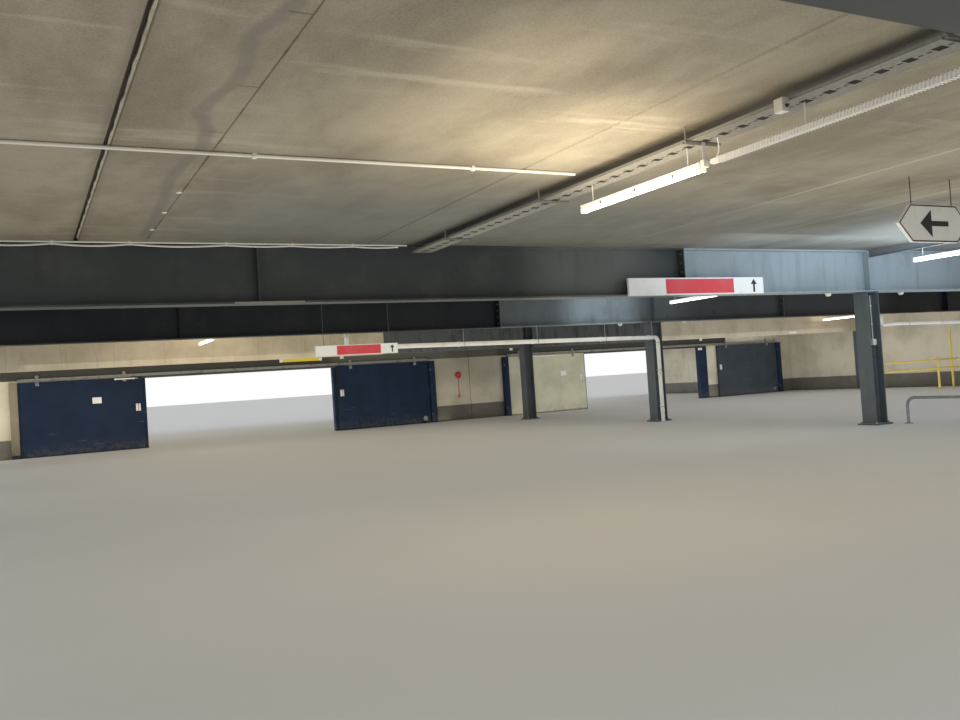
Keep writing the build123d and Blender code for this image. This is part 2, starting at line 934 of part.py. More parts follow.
# Deck
for bay_number in range(bay_count):
    save(deck_bay(bay_number), f"deck_bay_{bay_number + 1}")
topping_half_width = half_width - kerb_width - edge_joint
topping_half_length = half_length - kerb_width - edge_joint
with BuildPart() as deck_topping:
    block(
        (-topping_half_width, topping_half_width),
        (-topping_half_length, topping_half_length),
        (soffit + plank_thickness, deck_top),
    )
save(deck_topping.part, "deck_topping")
save(deck_kerb(), "deck_kerb")
kerb_line_x = half_width - kerb_width / 2
kerb_line_y = half_length - kerb_width / 2
side_guard = 2 * (half_length - kerb_width) - guard_post
end_guard = 2 * half_width
save(edge_guard((0, -kerb_line_y), end_guard, True), "deck_guard_front")
save(edge_guard((0, kerb_line_y), end_guard, True), "deck_guard_back")
save(edge_guard((-kerb_line_x, 0), side_guard, False), "deck_guard_left")
save(edge_guard((kerb_line_x, 0), side_guard, False), "deck_guard_right")

# Walls
outer_wall_end = -span - column_size / 2
wall_edges = [(left - door_post_width, right + door_post_width) for left, right in doorways]
save(wall_piece([(outer_wall_end, wall_edges[0][0])]), "fire_wall_left")
middle_ranges = [
    (wall_edges[0][1], wall_joint_x - wall_joint / 2),
    (wall_joint_x + wall_joint / 2, wall_edges[1][0]),
]
save(wall_piece(middle_ranges), "fire_wall_middle")
save(wall_piece([(wall_edges[1][1], side_wall_face)]), "fire_wall_right")
save(wall_lintel(doorways[0]), "fire_wall_lintel_left")
save(wall_lintel(doorways[1]), "fire_wall_lintel_right")
save(door_posts(), "door_posts")
save(side_wall(), "side_wall")

# Fire doors
for leaf_number in range(leaf_count):
    save(fire_door_leaf(leaf_number), f"fire_door_leaf_{leaf_number + 1}")
    save(fire_door_hangers(leaf_number), f"fire_door_hangers_{leaf_number + 1}")
save(door_rails(), "fire_door_rails")
save(weight_boxes(), "fire_door_weight_boxes")

# Services and fittings
save(cable_tray(), "cable_tray")
save(junction_box(), "junction_box")
save(lamp_housings(), "lamp_housings")
save(lamp_tubes(), "lamp_tubes")
save(ceiling_conduits(), "ceiling_conduits")
save(lamp_trunking(), "lamp_trunking")
save(drain_pipe(drain_x, drain_foot_x), "drain_pipe")
save(drain_pipe(second_drain_x, second_drain_foot_x), "drain_pipe_right")
save(sign_boards(), "sign_boards")
save(arrow_sign(), "arrow_sign")
save(alarm_bell(), "alarm_bell")
save(detectors(), "detectors")
save(hoop_guard(), "hoop_guard")
save(post_barrier(), "post_barrier")
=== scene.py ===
"""Finishes and fine pieces for a two-span block of a multi storey car park.

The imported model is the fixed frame: steel columns and girders, a plank deck, a fire wall with sliding
doors, services, signs and guards. Everything here is in metres, in the same frame.
"""

import logging
import math
from dataclasses import dataclass
from enum import Enum
from itertools import product

import bmesh
import bpy
from mathutils import Matrix, Vector


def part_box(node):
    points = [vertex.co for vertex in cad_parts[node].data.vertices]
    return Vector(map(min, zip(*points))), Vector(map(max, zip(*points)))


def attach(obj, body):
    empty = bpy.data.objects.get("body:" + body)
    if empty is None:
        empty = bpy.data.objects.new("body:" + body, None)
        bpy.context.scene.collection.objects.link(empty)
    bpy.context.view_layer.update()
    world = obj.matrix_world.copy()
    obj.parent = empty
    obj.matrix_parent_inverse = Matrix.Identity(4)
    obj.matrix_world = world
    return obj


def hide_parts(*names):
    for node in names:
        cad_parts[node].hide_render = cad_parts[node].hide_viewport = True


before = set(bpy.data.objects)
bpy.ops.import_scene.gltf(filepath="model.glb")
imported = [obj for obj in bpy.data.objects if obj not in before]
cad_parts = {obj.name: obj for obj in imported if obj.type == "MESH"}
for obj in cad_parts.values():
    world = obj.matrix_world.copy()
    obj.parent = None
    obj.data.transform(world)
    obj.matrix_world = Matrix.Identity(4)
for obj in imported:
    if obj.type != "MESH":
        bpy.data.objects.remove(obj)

log = logging.getLogger("car_park")
Colour = tuple[float, float, float]
Point = tuple[float, float, float]
Flat = tuple[float, float]
Flats = tuple[Flat, ...]
Row = tuple[float, ...]
Board = tuple[float, float, float, float]
Socket = bpy.types.NodeSocket
Node = bpy.types.Node
Material = bpy.types.Material
Mesh = bpy.types.Mesh
Thing = bpy.types.Object


class Body(str, Enum):
    """The bodies of the model that a piece can ride on."""

    BUILDING = "building"
    LEAF_1 = "leaf_1"
    LEAF_2 = "leaf_2"
    LEAF_3 = "leaf_3"
    LEAF_4 = "leaf_4"


class Slot(str, Enum):
    """The material slots of the record."""

    DECK = "deck_concrete"
    TOPPING = "topping_concrete"
    STEEL = "frame_steel"
    GEAR = "door_gear"
    ZINC = "galvanised"
    FITTING = "fitting_white"
    LAMP = "lamp_white"
    SIGN = "sign_white"
    BELL = "bell_red"
    YELLOW = "barrier_yellow"
    DOOR = "door_blue"
    WALL = "wall_cream"


# Sizes that several pieces share, in metres
LINES = (-18.15, -8.25, -1.65, 4.95, 11.55, 18.15)
SPAN = 15.8
SOFFIT = 3.38
HEADROOM = 2.58
DECK_TOP = 3.64
KERB_TOP = 3.89
WALL_FRONT = 8.59
WALL_BACK = 8.79
BOX_FRONT = 8.41
LEAF_FRONT = 8.48
LEAF_TOP = 2.16
SPLICE_X = 4.6
FLANGE_HALF = 0.15

FRONT = (0, -1, 0)
UP = (0, 0, 1)
DOWN = (0, 0, -1)


class NodeTree:
    """Adds and links the nodes of one tree."""

    tree: bpy.types.NodeTree

    def put(self, socket: Socket, value: object) -> None:
        """Link a socket into another, or set its plain value.

        Args:
            socket: the input.
            value: a socket or a plain value.
        """
        if isinstance(value, Socket):
            self.tree.links.new(value, socket)
        elif isinstance(value, tuple) and socket.type == "RGBA":
            socket.default_value = (*value[:3], 1.0)
        else:
            socket.default_value = value

    def node(self, kind: str, **inputs: object) -> Node:
        """Add a node and fill its inputs by name.

        Args:
            kind: the node's type.
            inputs: values or sockets, with underscores for spaces.

        Returns:
            The new node.
        """
        made = self.tree.nodes.new(kind)
        for name, value in inputs.items():
            self.put(made.inputs[name.replace("_", " ")], value)
        return made

    def math(self, operation: str, *values: object) -> Socket:
        """Return one arithmetic step.

        Args:
            operation: the node's operation.
            values: its values or sockets.

        Returns:
            The result socket.
        """
        made = self.node("ShaderNodeMath")
        made.operation = operation
        for socket, value in zip(made.inputs, values):
            self.put(socket, value)
        return made.outputs[0]

    def both(self, first: object, second: object) -> Socket:
        """Return the product of two values or masks."""
        return self.math("MULTIPLY", first, second)

    def out(self, kind: str, **inputs: object) -> Socket:
        """Add a node and return its first output."""
        return self.node(kind, **inputs).outputs[0]


class Graph(NodeTree):
    """The nodes of one material, with the tone that its layers have made so far."""

    def __init__(self, name: str, tone: object) -> None:
        """Start a material with a shader and its output.

        Args:
            name: the material's name.
            tone: the first colour.
        """
        self.tone = tone
        self.material = bpy.data.materials.new(name)
        self.material.use_nodes = True
        self.tree = self.material.node_tree
        self.tree.nodes.clear()
        self.shader = self.node("ShaderNodeBsdfPrincipled")
        self.node("ShaderNodeOutputMaterial", Surface=self.shader.outputs["BSDF"])
        self.place = self.node("ShaderNodeTexCoord").outputs["Object"]
        self.x, self.y, self.z = self.node("ShaderNodeSeparateXYZ", Vector=self.place).outputs
        self.normal: Socket | None = None

    def noise(
        self, scale: float, detail: float = 4, rough: float = 0.55, stretch: Point = (1, 1, 1)
    ) -> Socket:
        """Return smooth noise from 0 to 1.

        Args:
            scale: waves to the metre.
            detail: octaves.
            rough: strength of the finer octaves.
            stretch: factors along each axis.

        Returns:
            The value socket.
        """
        place = self.place
        if stretch != (1, 1, 1):
            place = self.out("ShaderNodeMapping", Vector=place, Scale=stretch)
        return self.out("ShaderNodeTexNoise", Vector=place, Scale=scale, Detail=detail, Roughness=rough)

    def cells(self, scale: float) -> Node:
        """Return a cell pattern, with so many cells to the metre."""
        return self.node("ShaderNodeTexVoronoi", Vector=self.place, Scale=scale)

    def away(self, value: object, middle: object) -> Socket:
        """Return how far a value lies from a middle one."""
        return self.math("ABSOLUTE", self.math("SUBTRACT", value, middle))

    def step(self, value: object, low: float, high: float) -> Socket:
        """Return 0 below low, 1 above high and a smooth rise between.

        Args:
            value: the socket to test.
            low: where the result is 0.
            high: where the result is 1.

        Returns:
            The mask socket.
        """
        made = self.node("ShaderNodeMapRange", Value=value, From_Min=low, From_Max=high)
        made.interpolation_type = "SMOOTHSTEP"
        return made.outputs[0]

    def ramp(self, value: object, stops: list[Flat], sharp: bool = False) -> Socket:
        """Return a grey value read from stops.

        Args:
            value: the socket from 0 to 1.
            stops: place and grey of each stop.
            sharp: hold each grey up to the next stop.

        Returns:
            The colour socket.
        """
        made = self.node("ShaderNodeValToRGB", Fac=value)
        ramp = made.color_ramp
        ramp.interpolation = "CONSTANT" if sharp else "LINEAR"
        while len(ramp.elements) < len(stops):
            ramp.elements.new(0.5)
        for element, (place, grey) in zip(ramp.elements, stops):
            element.position = place
            element.color = (grey, grey, grey, 1)
        return made.outputs[0]

    def mix(self, share: object, first: object, second: object, way: str = "MIX") -> Socket:
        """Return a mix of two colours.

        Args:
            share: how much of the second.
            first: colour or socket.
            second: colour or socket.
            way: the blend type.

        Returns:
            The colour socket.
        """
        made = self.tree.nodes.new("ShaderNodeMix")
        made.data_type = "RGBA"
        made.blend_type = way
        self.put(made.inputs[0], share)
        self.put(made.inputs[6], first)
        self.put(made.inputs[7], second)
        return made.outputs[2]

    def cover(self, share: object, colour: object) -> None:
        """Mix a share of a colour into the tone."""
        self.tone = self.mix(share, self.tone, colour)

    def layer(self, colour: object, mask: object, share: float) -> None:
        """Lay a share of a colour over the tone where a mask is 1."""
        self.cover(self.both(mask, share), colour)

    def bump(self, height: object, strength: float, distance: float) -> None:
        """Lay one more relief over the surface.

        Args:
            height: the relief socket.
            strength: how strong it shows.
            distance: its height in metres.
        """
        made = self.node("ShaderNodeBump", Height=height, Strength=strength, Distance=distance)
        if self.normal is not None:
            self.put(made.inputs["Normal"], self.normal)
        self.normal = made.outputs[0]

    def band(self, value: object, middle: float, half: float, soft: float) -> Socket:
        """Return a mask that is 1 within half of a middle value, and 0 a soft edge further out."""
        return self.step(self.away(value, middle), half + soft, half)

    def done(self, roughness: object, specular: float = 0.5, **others: object) -> None:
        """Fill the shader.

        Args:
            roughness: value or socket.
            specular: strength of the shine.
            others: further shader inputs by name.
        """
        inputs = {"Base Color": self.tone, "Roughness": roughness, "Specular IOR Level": specular, **others}
        if self.normal is not None:
            inputs["Normal"] = self.normal
        for name, value in inputs.items():
            self.put(self.shader.inputs[name.replace("_", " ")], value)


_made: dict[object, Material] = {}


@dataclass(frozen=True)
class Finish:
    """A surface finish. Each kind of finish builds its own nodes."""

    name: str
    colour: Colour

    def material(self) -> Material:
        """Return the material, built once.

        Returns:
            The shared material.
        """
        if self not in _made:
            graph = Graph(self.name, self.colour)
            self.build(graph)
            _made[self] = graph.material
        return _made[self]

    def build(self, graph: Graph) -> None:
        """Fill the empty graph; every kind of finish replaces this."""
        raise NotImplementedError


@dataclass(frozen=True)
class PlankConcrete(Finish):
    """Underside of the deck planks: cast concrete with stains, board marks and one old repair, with painted
    shade beside the first inner girder and painted highlights along two joints.
    """

    stain: Colour = (0.19, 0.165, 0.125)
    pale: Colour = (0.47, 0.44, 0.36)
    # painted shade: cool grey laid on the soffit beside the first inner girder
    cool: Colour = (0.115, 0.13, 0.135)
    seam: float = 14.05
    # X of two joints that get painted highlights along their edges
    lit_joint_edges: Row = (-6.2, -4.12)
    crack_x: float = -13.25
    crack_ticks: Row = (-15.6, -14.39, -13.32)
    repair: Flats = (
        (-15.71, -13.39), (-15.2, -13.51), (-14.73, -13.43), (-14.43, -13.43), (-14.12, -13.5),
        (-13.75, -13.54), (-13.36, -13.41), (-12.88, -13.37), (-12.35, -13.42), (-11.72, -13.45),
        (-11.0, -13.39), (-9.99, -13.34), (-9.2, -13.33),
    )

    def repair_mask(self, graph: Graph) -> Socket:
        """Return a mask of the wavy repair band, read from its places along Y.

        Args:
            graph: the graph to add to.

        Returns:
            The mask socket.
        """
        near, far = self.repair[0][0] - 1.5, self.repair[-1][0] + 0.8
        low, high = -13.6, -13.2
        along = graph.out("ShaderNodeMapRange", Value=graph.y, From_Min=near, From_Max=far)
        stops = [((y - near) / (far - near), (x - low) / (high - low)) for y, x in self.repair]
        line = graph.math("MULTIPLY_ADD", graph.ramp(along, stops), high - low, low)
        wander = graph.both(graph.noise(9, 1), 0.03)
        band = graph.step(graph.away(graph.x, graph.math("ADD", line, wander)), 0.085, 0.02)
        return graph.both(band, graph.step(graph.y, -8.4, -9.0))

    def crack_mask(self, graph: Graph) -> Socket:
        """Return a mask of the straight hairline crack and its short side cracks.

        Args:
            graph: the graph to add to.

        Returns:
            The mask socket.
        """
        uneven = graph.both(graph.step(graph.noise(2.5, 2, 0.6), 0.45, 0.7), 0.007)
        line = graph.step(graph.math("SUBTRACT", graph.away(graph.x, self.crack_x), uneven), 0.0075, 0.0035)
        reach = graph.band(graph.x, self.crack_x - 0.065, 0.065, 0.01)
        for y in self.crack_ticks:
            tick = graph.both(graph.band(graph.y, y, 0.004, 0.004), reach)
            line = graph.math("MAXIMUM", line, tick)
        return graph.both(line, graph.step(graph.y, -8.4, -8.6))

    def build(self, graph: Graph) -> None:
        """Fill the graph with stains, board marks, crack and repair, painted shade and painted joint
        highlights.

        Args:
            graph: the empty graph.
        """
        across = graph.math("ABSOLUTE", graph.x)
        plank = graph.ramp(
            graph.math("DIVIDE", across, 16.2),
            [(0.0, 0.45), (0.2556, 0.56), (0.384, 0.5), (0.6364, 0.42), (0.8673, 0.6)],
            sharp=True,
        )
        clouds = graph.noise(0.9, 4, 0.62, (1, 0.5, 1))
        smears = graph.noise(1.6, 3, 0.6, (0.35, 2.2, 1))
        boards = graph.noise(26, 1, 0.5, (1, 0.05, 1))
        grain = graph.noise(60, 3, 0.75)
        graph.cover(graph.step(clouds, 0.35, 0.68), self.stain)
        graph.layer(self.pale, graph.step(smears, 0.55, 0.75), 0.6)
        graph.cover(0.26, graph.mix(graph.step(grain, 0.3, 0.7), self.stain, self.pale))
        graph.cover(0.55, graph.mix(0.5, graph.tone, plank, "OVERLAY"))
        graph.layer(self.stain, graph.band(across, self.seam, 0.03, 0.09), 0.5)
        graph.layer((0.165, 0.15, 0.14), self.repair_mask(graph), 0.6)
        # painted highlights: pale lines along two joints, where their edges catch light
        for joint in self.lit_joint_edges:
            graph.layer((0.6, 0.58, 0.5), graph.band(graph.x, joint, 0.012, 0.022), 0.55)
        # painted shade on the soffit beside the first inner girder
        cool = graph.both(graph.band(graph.y, -9.4, 1.2, 2.8), graph.step(graph.x, -14.5, -11.5))
        graph.layer(self.cool, cool, 0.68)
        graph.layer((0.06, 0.055, 0.045), self.crack_mask(graph), 0.8)
        graph.bump(graph.math("ADD", graph.both(boards, 0.6), grain), 0.35, 0.004)
        graph.done(graph.step(clouds, -0.4, 1.3), 0.35)


@dataclass(frozen=True)
class ToppingConcrete(Finish):
    """Grey topping and kerb of the open deck, with worn lanes and weather stains."""

    wear: Colour = (0.19, 0.19, 0.185)

    def build(self, graph: Graph) -> None:
        """Fill the graph with aggregate, lanes, saw cuts and stains.

        Args:
            graph: the empty graph.
        """
        clouds = graph.noise(0.35, 5, 0.6)
        stones = graph.cells(70).outputs["Distance"]
        graph.cover(graph.step(clouds, 0.35, 0.7), self.wear)
        graph.cover(0.3, graph.mix(graph.step(stones, 0.2, 0.7), (0.5, 0.48, 0.45), self.wear))
        lane = graph.band(graph.math("ABSOLUTE", graph.x), 8.0, 0.9, 1.1)
        track = graph.both(lane, graph.step(graph.noise(0.8, 4, 0.5, (3, 0.25, 1)), 0.35, 0.7))
        graph.layer((0.13, 0.13, 0.13), track, 0.55)
        spots = graph.step(graph.noise(1.7, 3, 0.4), 0.68, 0.74)
        graph.layer((0.09, 0.085, 0.08), spots, 0.6)
        cut_x = graph.math("PINGPONG", graph.x, 2.7)
        cut_y = graph.math("PINGPONG", graph.math("ADD", graph.y, 1.65), 3.3)
        cuts = graph.math("MAXIMUM", graph.step(cut_x, 0.012, 0.006), graph.step(cut_y, 0.012, 0.006))
        graph.layer((0.06, 0.06, 0.058), cuts, 0.75)
        graph.bump(stones, 0.3, 0.004)
        graph.done(graph.step(clouds, -0.8, 1.2), 0.3)


@dataclass(frozen=True)
class FramePaint(Finish):
    """Old paint on rolled steel: darker outer lengths that are partly their own paint and partly painted
    shade, bands of painted light and shade along X, dust on ledges, drips and chips.
    """

    # outer lengths: their own darker paint with painted shade in it
    shade: Colour = (0.05, 0.06, 0.065)
    patch: Colour = (0.2, 0.2, 0.19)
    edge: float = SPLICE_X
    varies: bool = True
    # bands along X of painted light and painted shade on the webs
    light_and_shade_bands: tuple[tuple[float, float, float, Colour], ...] = ()

    def build(self, graph: Graph) -> None:
        """Fill the graph with the two tones, the bands of painted light and shade, drips, chips and dust.

        Args:
            graph: the empty graph.
        """
        drips = graph.noise(5, 3, 0.6, (1, 1, 0.12))
        clouds = graph.noise(1.3, 3, 0.6)
        # partly painted shade: the outer lengths beyond the splices take the darker tone
        if self.varies:
            outer = graph.step(graph.math("ABSOLUTE", graph.x), self.edge - 0.004, self.edge + 0.004)
            graph.cover(outer, self.shade)
        # painted light and painted shade: paler and darker bands along X, where lamps light the web or leave
        # it dark
        for middle, half, soft, paint in self.light_and_shade_bands:
            graph.layer(paint, graph.band(graph.x, middle, half, soft), 0.85)
        graph.layer((0.03, 0.032, 0.034), graph.step(drips, 0.5, 0.8), 0.3)
        graph.layer(self.patch, graph.step(clouds, 0.45, 0.75), 0.25)
        graph.layer((0.17, 0.09, 0.05), graph.step(graph.noise(18, 3, 0.75), 0.68, 0.71), 0.6)
        normal = graph.node("ShaderNodeNewGeometry").outputs["Normal"]
        up = graph.node("ShaderNodeSeparateXYZ", Vector=normal).outputs[2]
        graph.layer((0.3, 0.29, 0.26), graph.step(up, 0.5, 0.95), 0.6)
        graph.bump(graph.noise(3.5, 6, 0.72), 0.12, 0.004)
        graph.done(graph.step(clouds, -0.35, 1.6), 0.45)


@dataclass(frozen=True)
class CasingBoard(Finish):
    """Fire boards with butt joints, filled screw heads and water marks; the middle lengths are darkened grey
    as painted shade.
    """

    board: float = 1.25
    joint: Colour = (0.25, 0.22, 0.17)
    # painted shade: the grey of the middle lengths
    middle: Colour = (0.1, 0.112, 0.118)
    shaded_half: float = 5.0

    def build(self, graph: Graph) -> None:
        """Fill the graph with boards, joints, marks and the painted shade of the middle lengths.

        Args:
            graph: the empty graph.
        """
        clouds = graph.noise(1.1, 4, 0.6)
        graph.cover(graph.step(clouds, 0.35, 0.75), (0.47, 0.42, 0.32))
        streaks = graph.noise(4, 3, 0.6, (1, 1, 0.2))
        graph.layer((0.33, 0.29, 0.22), graph.step(streaks, 0.52, 0.75), 0.4)
        seam = graph.step(graph.math("PINGPONG", graph.x, self.board / 2), 0.008, 0.003)
        graph.layer(self.joint, seam, 0.45)
        # painted shade: the middle lengths, which the lamps leave dark, turn grey
        side = graph.math("ABSOLUTE", graph.x)
        inner = graph.step(side, self.shaded_half + 0.003, self.shaded_half - 0.003)
        shaded_middle_tone = graph.mix(graph.step(streaks, 0.45, 0.75), self.middle, (0.045, 0.048, 0.05))
        graph.cover(inner, shaded_middle_tone)
        across = graph.math("PINGPONG", graph.math("ADD", graph.x, self.board / 2), self.board / 2)
        rows = graph.math("PINGPONG", graph.z, 0.1)
        near = graph.away(across, self.board / 2 - 0.04)
        screw = graph.both(graph.step(near, 0.012, 0.008), graph.step(rows, 0.012, 0.008))
        graph.layer((0.62, 0.6, 0.54), screw, 0.25)
        graph.bump(graph.math("SUBTRACT", graph.both(graph.noise(90, 2, 0.6), 0.15), seam), 0.5, 0.004)
        graph.done(graph.step(clouds, -0.9, 1.1), 0.3)


@dataclass(frozen=True)
class WallPaint(Finish):
    """Cream paint on concrete between a grey plinth and a dark upper band of painted shade, with scuffs, runs
    and a patch of painted shade in the middle.
    """

    aged: Colour = (0.5, 0.46, 0.36)
    run: Colour = (0.38, 0.34, 0.26)
    # painted shade on the middle of the wall, below its top
    wall_shade: Colour = (0.17, 0.17, 0.14)
    plinth: Colour = (0.2, 0.19, 0.155)
    # painted shade: the dark band on the top of the wall, under the casing
    upper: Colour = (0.055, 0.057, 0.048)
    shade_foot: float = 2.23
    shade_end: float = 12.0
    plinth_top: float = 0.55

    def build(self, graph: Graph) -> None:
        """Fill the graph with the bands of paint, the painted shade and their wear.

        Args:
            graph: the empty graph.
        """
        ragged = graph.math("ADD", graph.z, graph.both(graph.noise(14, 1), 0.012))
        clouds = graph.noise(0.8, 4, 0.6)
        runs = graph.noise(6, 3, 0.6, (1, 1, 0.1))
        graph.cover(graph.step(clouds, 0.4, 0.75), self.aged)
        graph.layer(self.run, graph.step(runs, 0.55, 0.8), 0.35)
        band = graph.mix(graph.step(clouds, 0.3, 0.7), self.plinth, (0.14, 0.135, 0.12))
        scuffs = graph.step(graph.noise(7, 3, 0.6, (0.3, 0.3, 3)), 0.6, 0.7)
        low = graph.both(scuffs, graph.step(graph.z, 0.7, 0.3))
        graph.cover(graph.step(ragged, self.plinth_top + 0.004, self.plinth_top - 0.004), band)
        graph.layer((0.05, 0.05, 0.05), low, 0.5)
        # painted shade over the top of the wall, on its left part
        above = graph.step(ragged, self.shade_foot - 0.004, self.shade_foot + 0.004)
        before = graph.step(graph.x, self.shade_end + 0.01, self.shade_end - 0.01)
        graph.cover(graph.both(above, before), self.upper)
        # painted shade: a darker patch on the middle of the wall
        wall_shade_mask = graph.both(graph.band(graph.x, -2.2, 2.9, 0.5), graph.step(graph.z, 0.8, 1.7))
        graph.layer(self.wall_shade, wall_shade_mask, 0.5)
        foot = graph.both(graph.step(graph.z, 0.12, 0.0), graph.step(runs, 0.2, 0.6))
        graph.layer((0.09, 0.085, 0.075), foot, 0.7)
        seam = graph.step(graph.math("PINGPONG", graph.x, 1.25), 0.006, 0.002)
        graph.bump(graph.math("ADD", graph.both(graph.noise(50, 3, 0.7), 0.6), seam), 0.3, 0.003)
        graph.done(graph.step(clouds, -0.7, 1.4), 0.4)


@dataclass(frozen=True)
class DoorPaint(Finish):
    """Satin paint on sheet steel: faint waviness, dirt near the floor and long scratches."""

    dirt: Colour = (0.12, 0.11, 0.09)
    scratch: Colour = (0.3, 0.33, 0.36)

    def build(self, graph: Graph) -> None:
        """Fill the graph with paint, dirt and scratches.

        Args:
            graph: the empty graph.
        """
        clouds = graph.noise(1.5, 3, 0.6)
        darker = tuple(0.84 * part for part in self.colour)
        graph.cover(graph.step(clouds, 0.35, 0.7), darker)
        low = graph.both(graph.step(graph.z, 0.5, 0.0), graph.step(graph.noise(8, 3), 0.3, 0.7))
        graph.layer(self.dirt, low, 0.6)
        lines = graph.noise(30, 2, 0.5, (0.04, 1, 1))
        worn = graph.both(graph.step(lines, 0.72, 0.75), graph.band(graph.z, 0.75, 0.5, 0.3))
        graph.layer(self.scratch, worn, 0.6)
        graph.bump(graph.noise(2.4, 4, 0.45), 0.3, 0.01)
        graph.done(graph.step(clouds, -0.6, 1.5), 0.3)


@dataclass(frozen=True)
class ZincCoat(Finish):
    """Hot dip zinc with spangles and dull patches."""

    dull: Colour = (0.36, 0.37, 0.37)
    metallic: float = 0.75

    def build(self, graph: Graph) -> None:
        """Fill the graph with spangles and patches.

        Args:
            graph: the empty graph.
        """
        spangle = graph.out("ShaderNodeSeparateXYZ", Vector=graph.cells(45).outputs["Color"])
        clouds = graph.noise(2.5, 3, 0.6)
        graph.layer(self.dull, spangle, 0.5)
        graph.layer(self.dull, graph.step(clouds, 0.5, 0.75), 0.6)
        graph.bump(graph.noise(90, 1, 0.5), 0.1, 0.0008)
        graph.done(graph.math("MULTIPLY_ADD", spangle, 0.15, 0.42), Metallic=self.metallic)


@dataclass(frozen=True)
class Coated(Finish):
    """Painted or moulded fittings: fine grain, dust in patches and small marks."""

    mark: Colour = (0.42, 0.4, 0.36)
    roughness: float = 0.4
    metallic: float = 0.0
    wear: float = 0.25
    grain: float = 180.0
    relief: float = 0.1

    def build(self, graph: Graph) -> None:
        """Fill the graph with colour, marks and grain.

        Args:
            graph: the empty graph.
        """
        clouds = graph.noise(3.0, 3, 0.6)
        marks = graph.noise(22, 3, 0.7)
        graph.layer(self.mark, graph.step(clouds, 0.42, 0.75), self.wear)
        graph.layer(self.mark, graph.step(marks, 0.64, 0.7), self.wear)
        graph.bump(graph.noise(self.grain, 1, 0.5), self.relief, 0.0008)
        rough = graph.math("MULTIPLY_ADD", clouds, 0.25, self.roughness - 0.1)
        graph.done(rough, Metallic=self.metallic)


@dataclass(frozen=True)
class ChippedPaint(Finish):
    """Bright paint, faded in patches and chipped down to grey metal."""

    under: Colour = (0.3, 0.29, 0.27)

    def build(self, graph: Graph) -> None:
        """Fill the graph with paint and chips.

        Args:
            graph: the empty graph.
        """
        clouds = graph.noise(2.2, 5, 0.6)
        faded = tuple(0.75 * part + 0.06 for part in self.colour)
        graph.cover(graph.step(clouds, 0.4, 0.7), faded)
        chips = graph.step(graph.noise(26, 6, 0.7), 0.63, 0.65)
        graph.cover(chips, self.under)
        graph.bump(graph.math("SUBTRACT", 1.0, chips), 0.4, 0.0008)
        graph.done(graph.step(clouds, -0.4, 1.7), 0.5)


@dataclass(frozen=True)
class LampGlow(Finish):
    """The lit cover of a batten lamp, with fine ribs across it."""

    strength: float = 5.0

    def build(self, graph: Graph) -> None:
        """Fill the graph with a ribbed, lit cover.

        Args:
            graph: the empty graph.
        """
        ribs = graph.math("PINGPONG", graph.y, 0.008)
        graph.tone = graph.mix(graph.step(ribs, 0.001, 0.006), (0.8, 0.8, 0.78), self.colour)
        graph.bump(ribs, 0.4, 0.002)
        graph.done(0.35, Emission_Color=(1.0, 0.97, 0.9), Emission_Strength=self.strength)


@dataclass(frozen=True)
class SignFace(Finish):
    """White enamelled boards; the bar over the doorway is yellow, and the hanging rods are dark."""

    bar: Colour = (0.75, 0.6, 0.06)
    rod: Colour = (0.09, 0.09, 0.09)

    def build(self, graph: Graph) -> None:
        """Fill the graph with the board colours by place.

        Args:
            graph: the empty graph.
        """
        clouds = graph.noise(2.5, 5, 0.6)
        graph.cover(graph.step(graph.y, 5.0, 5.1), self.bar)
        graph.layer((0.5, 0.48, 0.43), graph.step(clouds, 0.5, 0.8), 0.3)
        hung = graph.both(graph.band(graph.y, 1.05, 3.9, 0.1), graph.step(graph.z, 2.313, 2.316))
        rods = graph.math("MAXIMUM", graph.step(graph.z, 3.064, 3.068), hung)
        graph.cover(rods, self.rod)
        graph.bump(graph.noise(140, 1, 0.5), 0.08, 0.0006)
        graph.done(graph.step(clouds, -0.6, 2.2))


@dataclass(frozen=True)
class StudioFloor(Finish):
    """The plain pale floor of the studio."""

    def build(self, graph: Graph) -> None:
        """Fill the empty graph with one faint cloud in the tone."""
        graph.cover(graph.noise(0.4, 1), tuple(0.93 * part for part in self.colour))
        graph.done(0.7, 0.2)


@dataclass(frozen=True)
class BrushedSteel(Finish):
    """Bare steel rolled along X, greasy in places."""

    grease: Colour = (0.12, 0.11, 0.1)

    def build(self, graph: Graph) -> None:
        """Fill the graph with rolling lines and grease.

        Args:
            graph: the empty graph.
        """
        lines = graph.noise(150, 1, 0.6, (0.02, 1, 1))
        clouds = graph.noise(4, 3, 0.6)
        graph.layer((0.3, 0.3, 0.3), lines, 0.5)
        graph.layer(self.grease, graph.step(clouds, 0.48, 0.75), 0.6)
        graph.bump(lines, 0.15, 0.0006)
        graph.done(graph.math("MULTIPLY_ADD", clouds, 0.3, 0.22), Metallic=0.85)


PLANKS = PlankConcrete("plank_concrete", (0.34, 0.31, 0.24))
TOPPING = ToppingConcrete("deck_topping", (0.34, 0.335, 0.32))
# the paler band near x -6.4 is painted light
GIRDERS = FramePaint("girder_paint", (0.29, 0.345, 0.385), light_and_shade_bands=((-6.4, 0.5, 1.2, (0.16, 0.175, 0.18)),))
# very dark outer lengths are partly painted shade; the pale band near x -1.6 is painted light, the dark long
# band near x 5 painted shade
DARK_GIRDERS = FramePaint(
    "dark_girder_paint", (0.1, 0.12, 0.135), (0.006, 0.01, 0.017), (0.03, 0.035, 0.04),
    light_and_shade_bands=((-1.6, 0.5, 1.0, (0.31, 0.385, 0.43)), (5.0, 3.2, 1.4, (0.05, 0.06, 0.07))),
)
COLUMNS = FramePaint("column_paint", (0.085, 0.105, 0.12), varies=False)
TIES = FramePaint("tie_paint", (0.14, 0.155, 0.165), varies=False)
CASING = CasingBoard("casing_board", (0.6, 0.54, 0.42))
WALLS = WallPaint("wall_paint", (0.68, 0.63, 0.5))
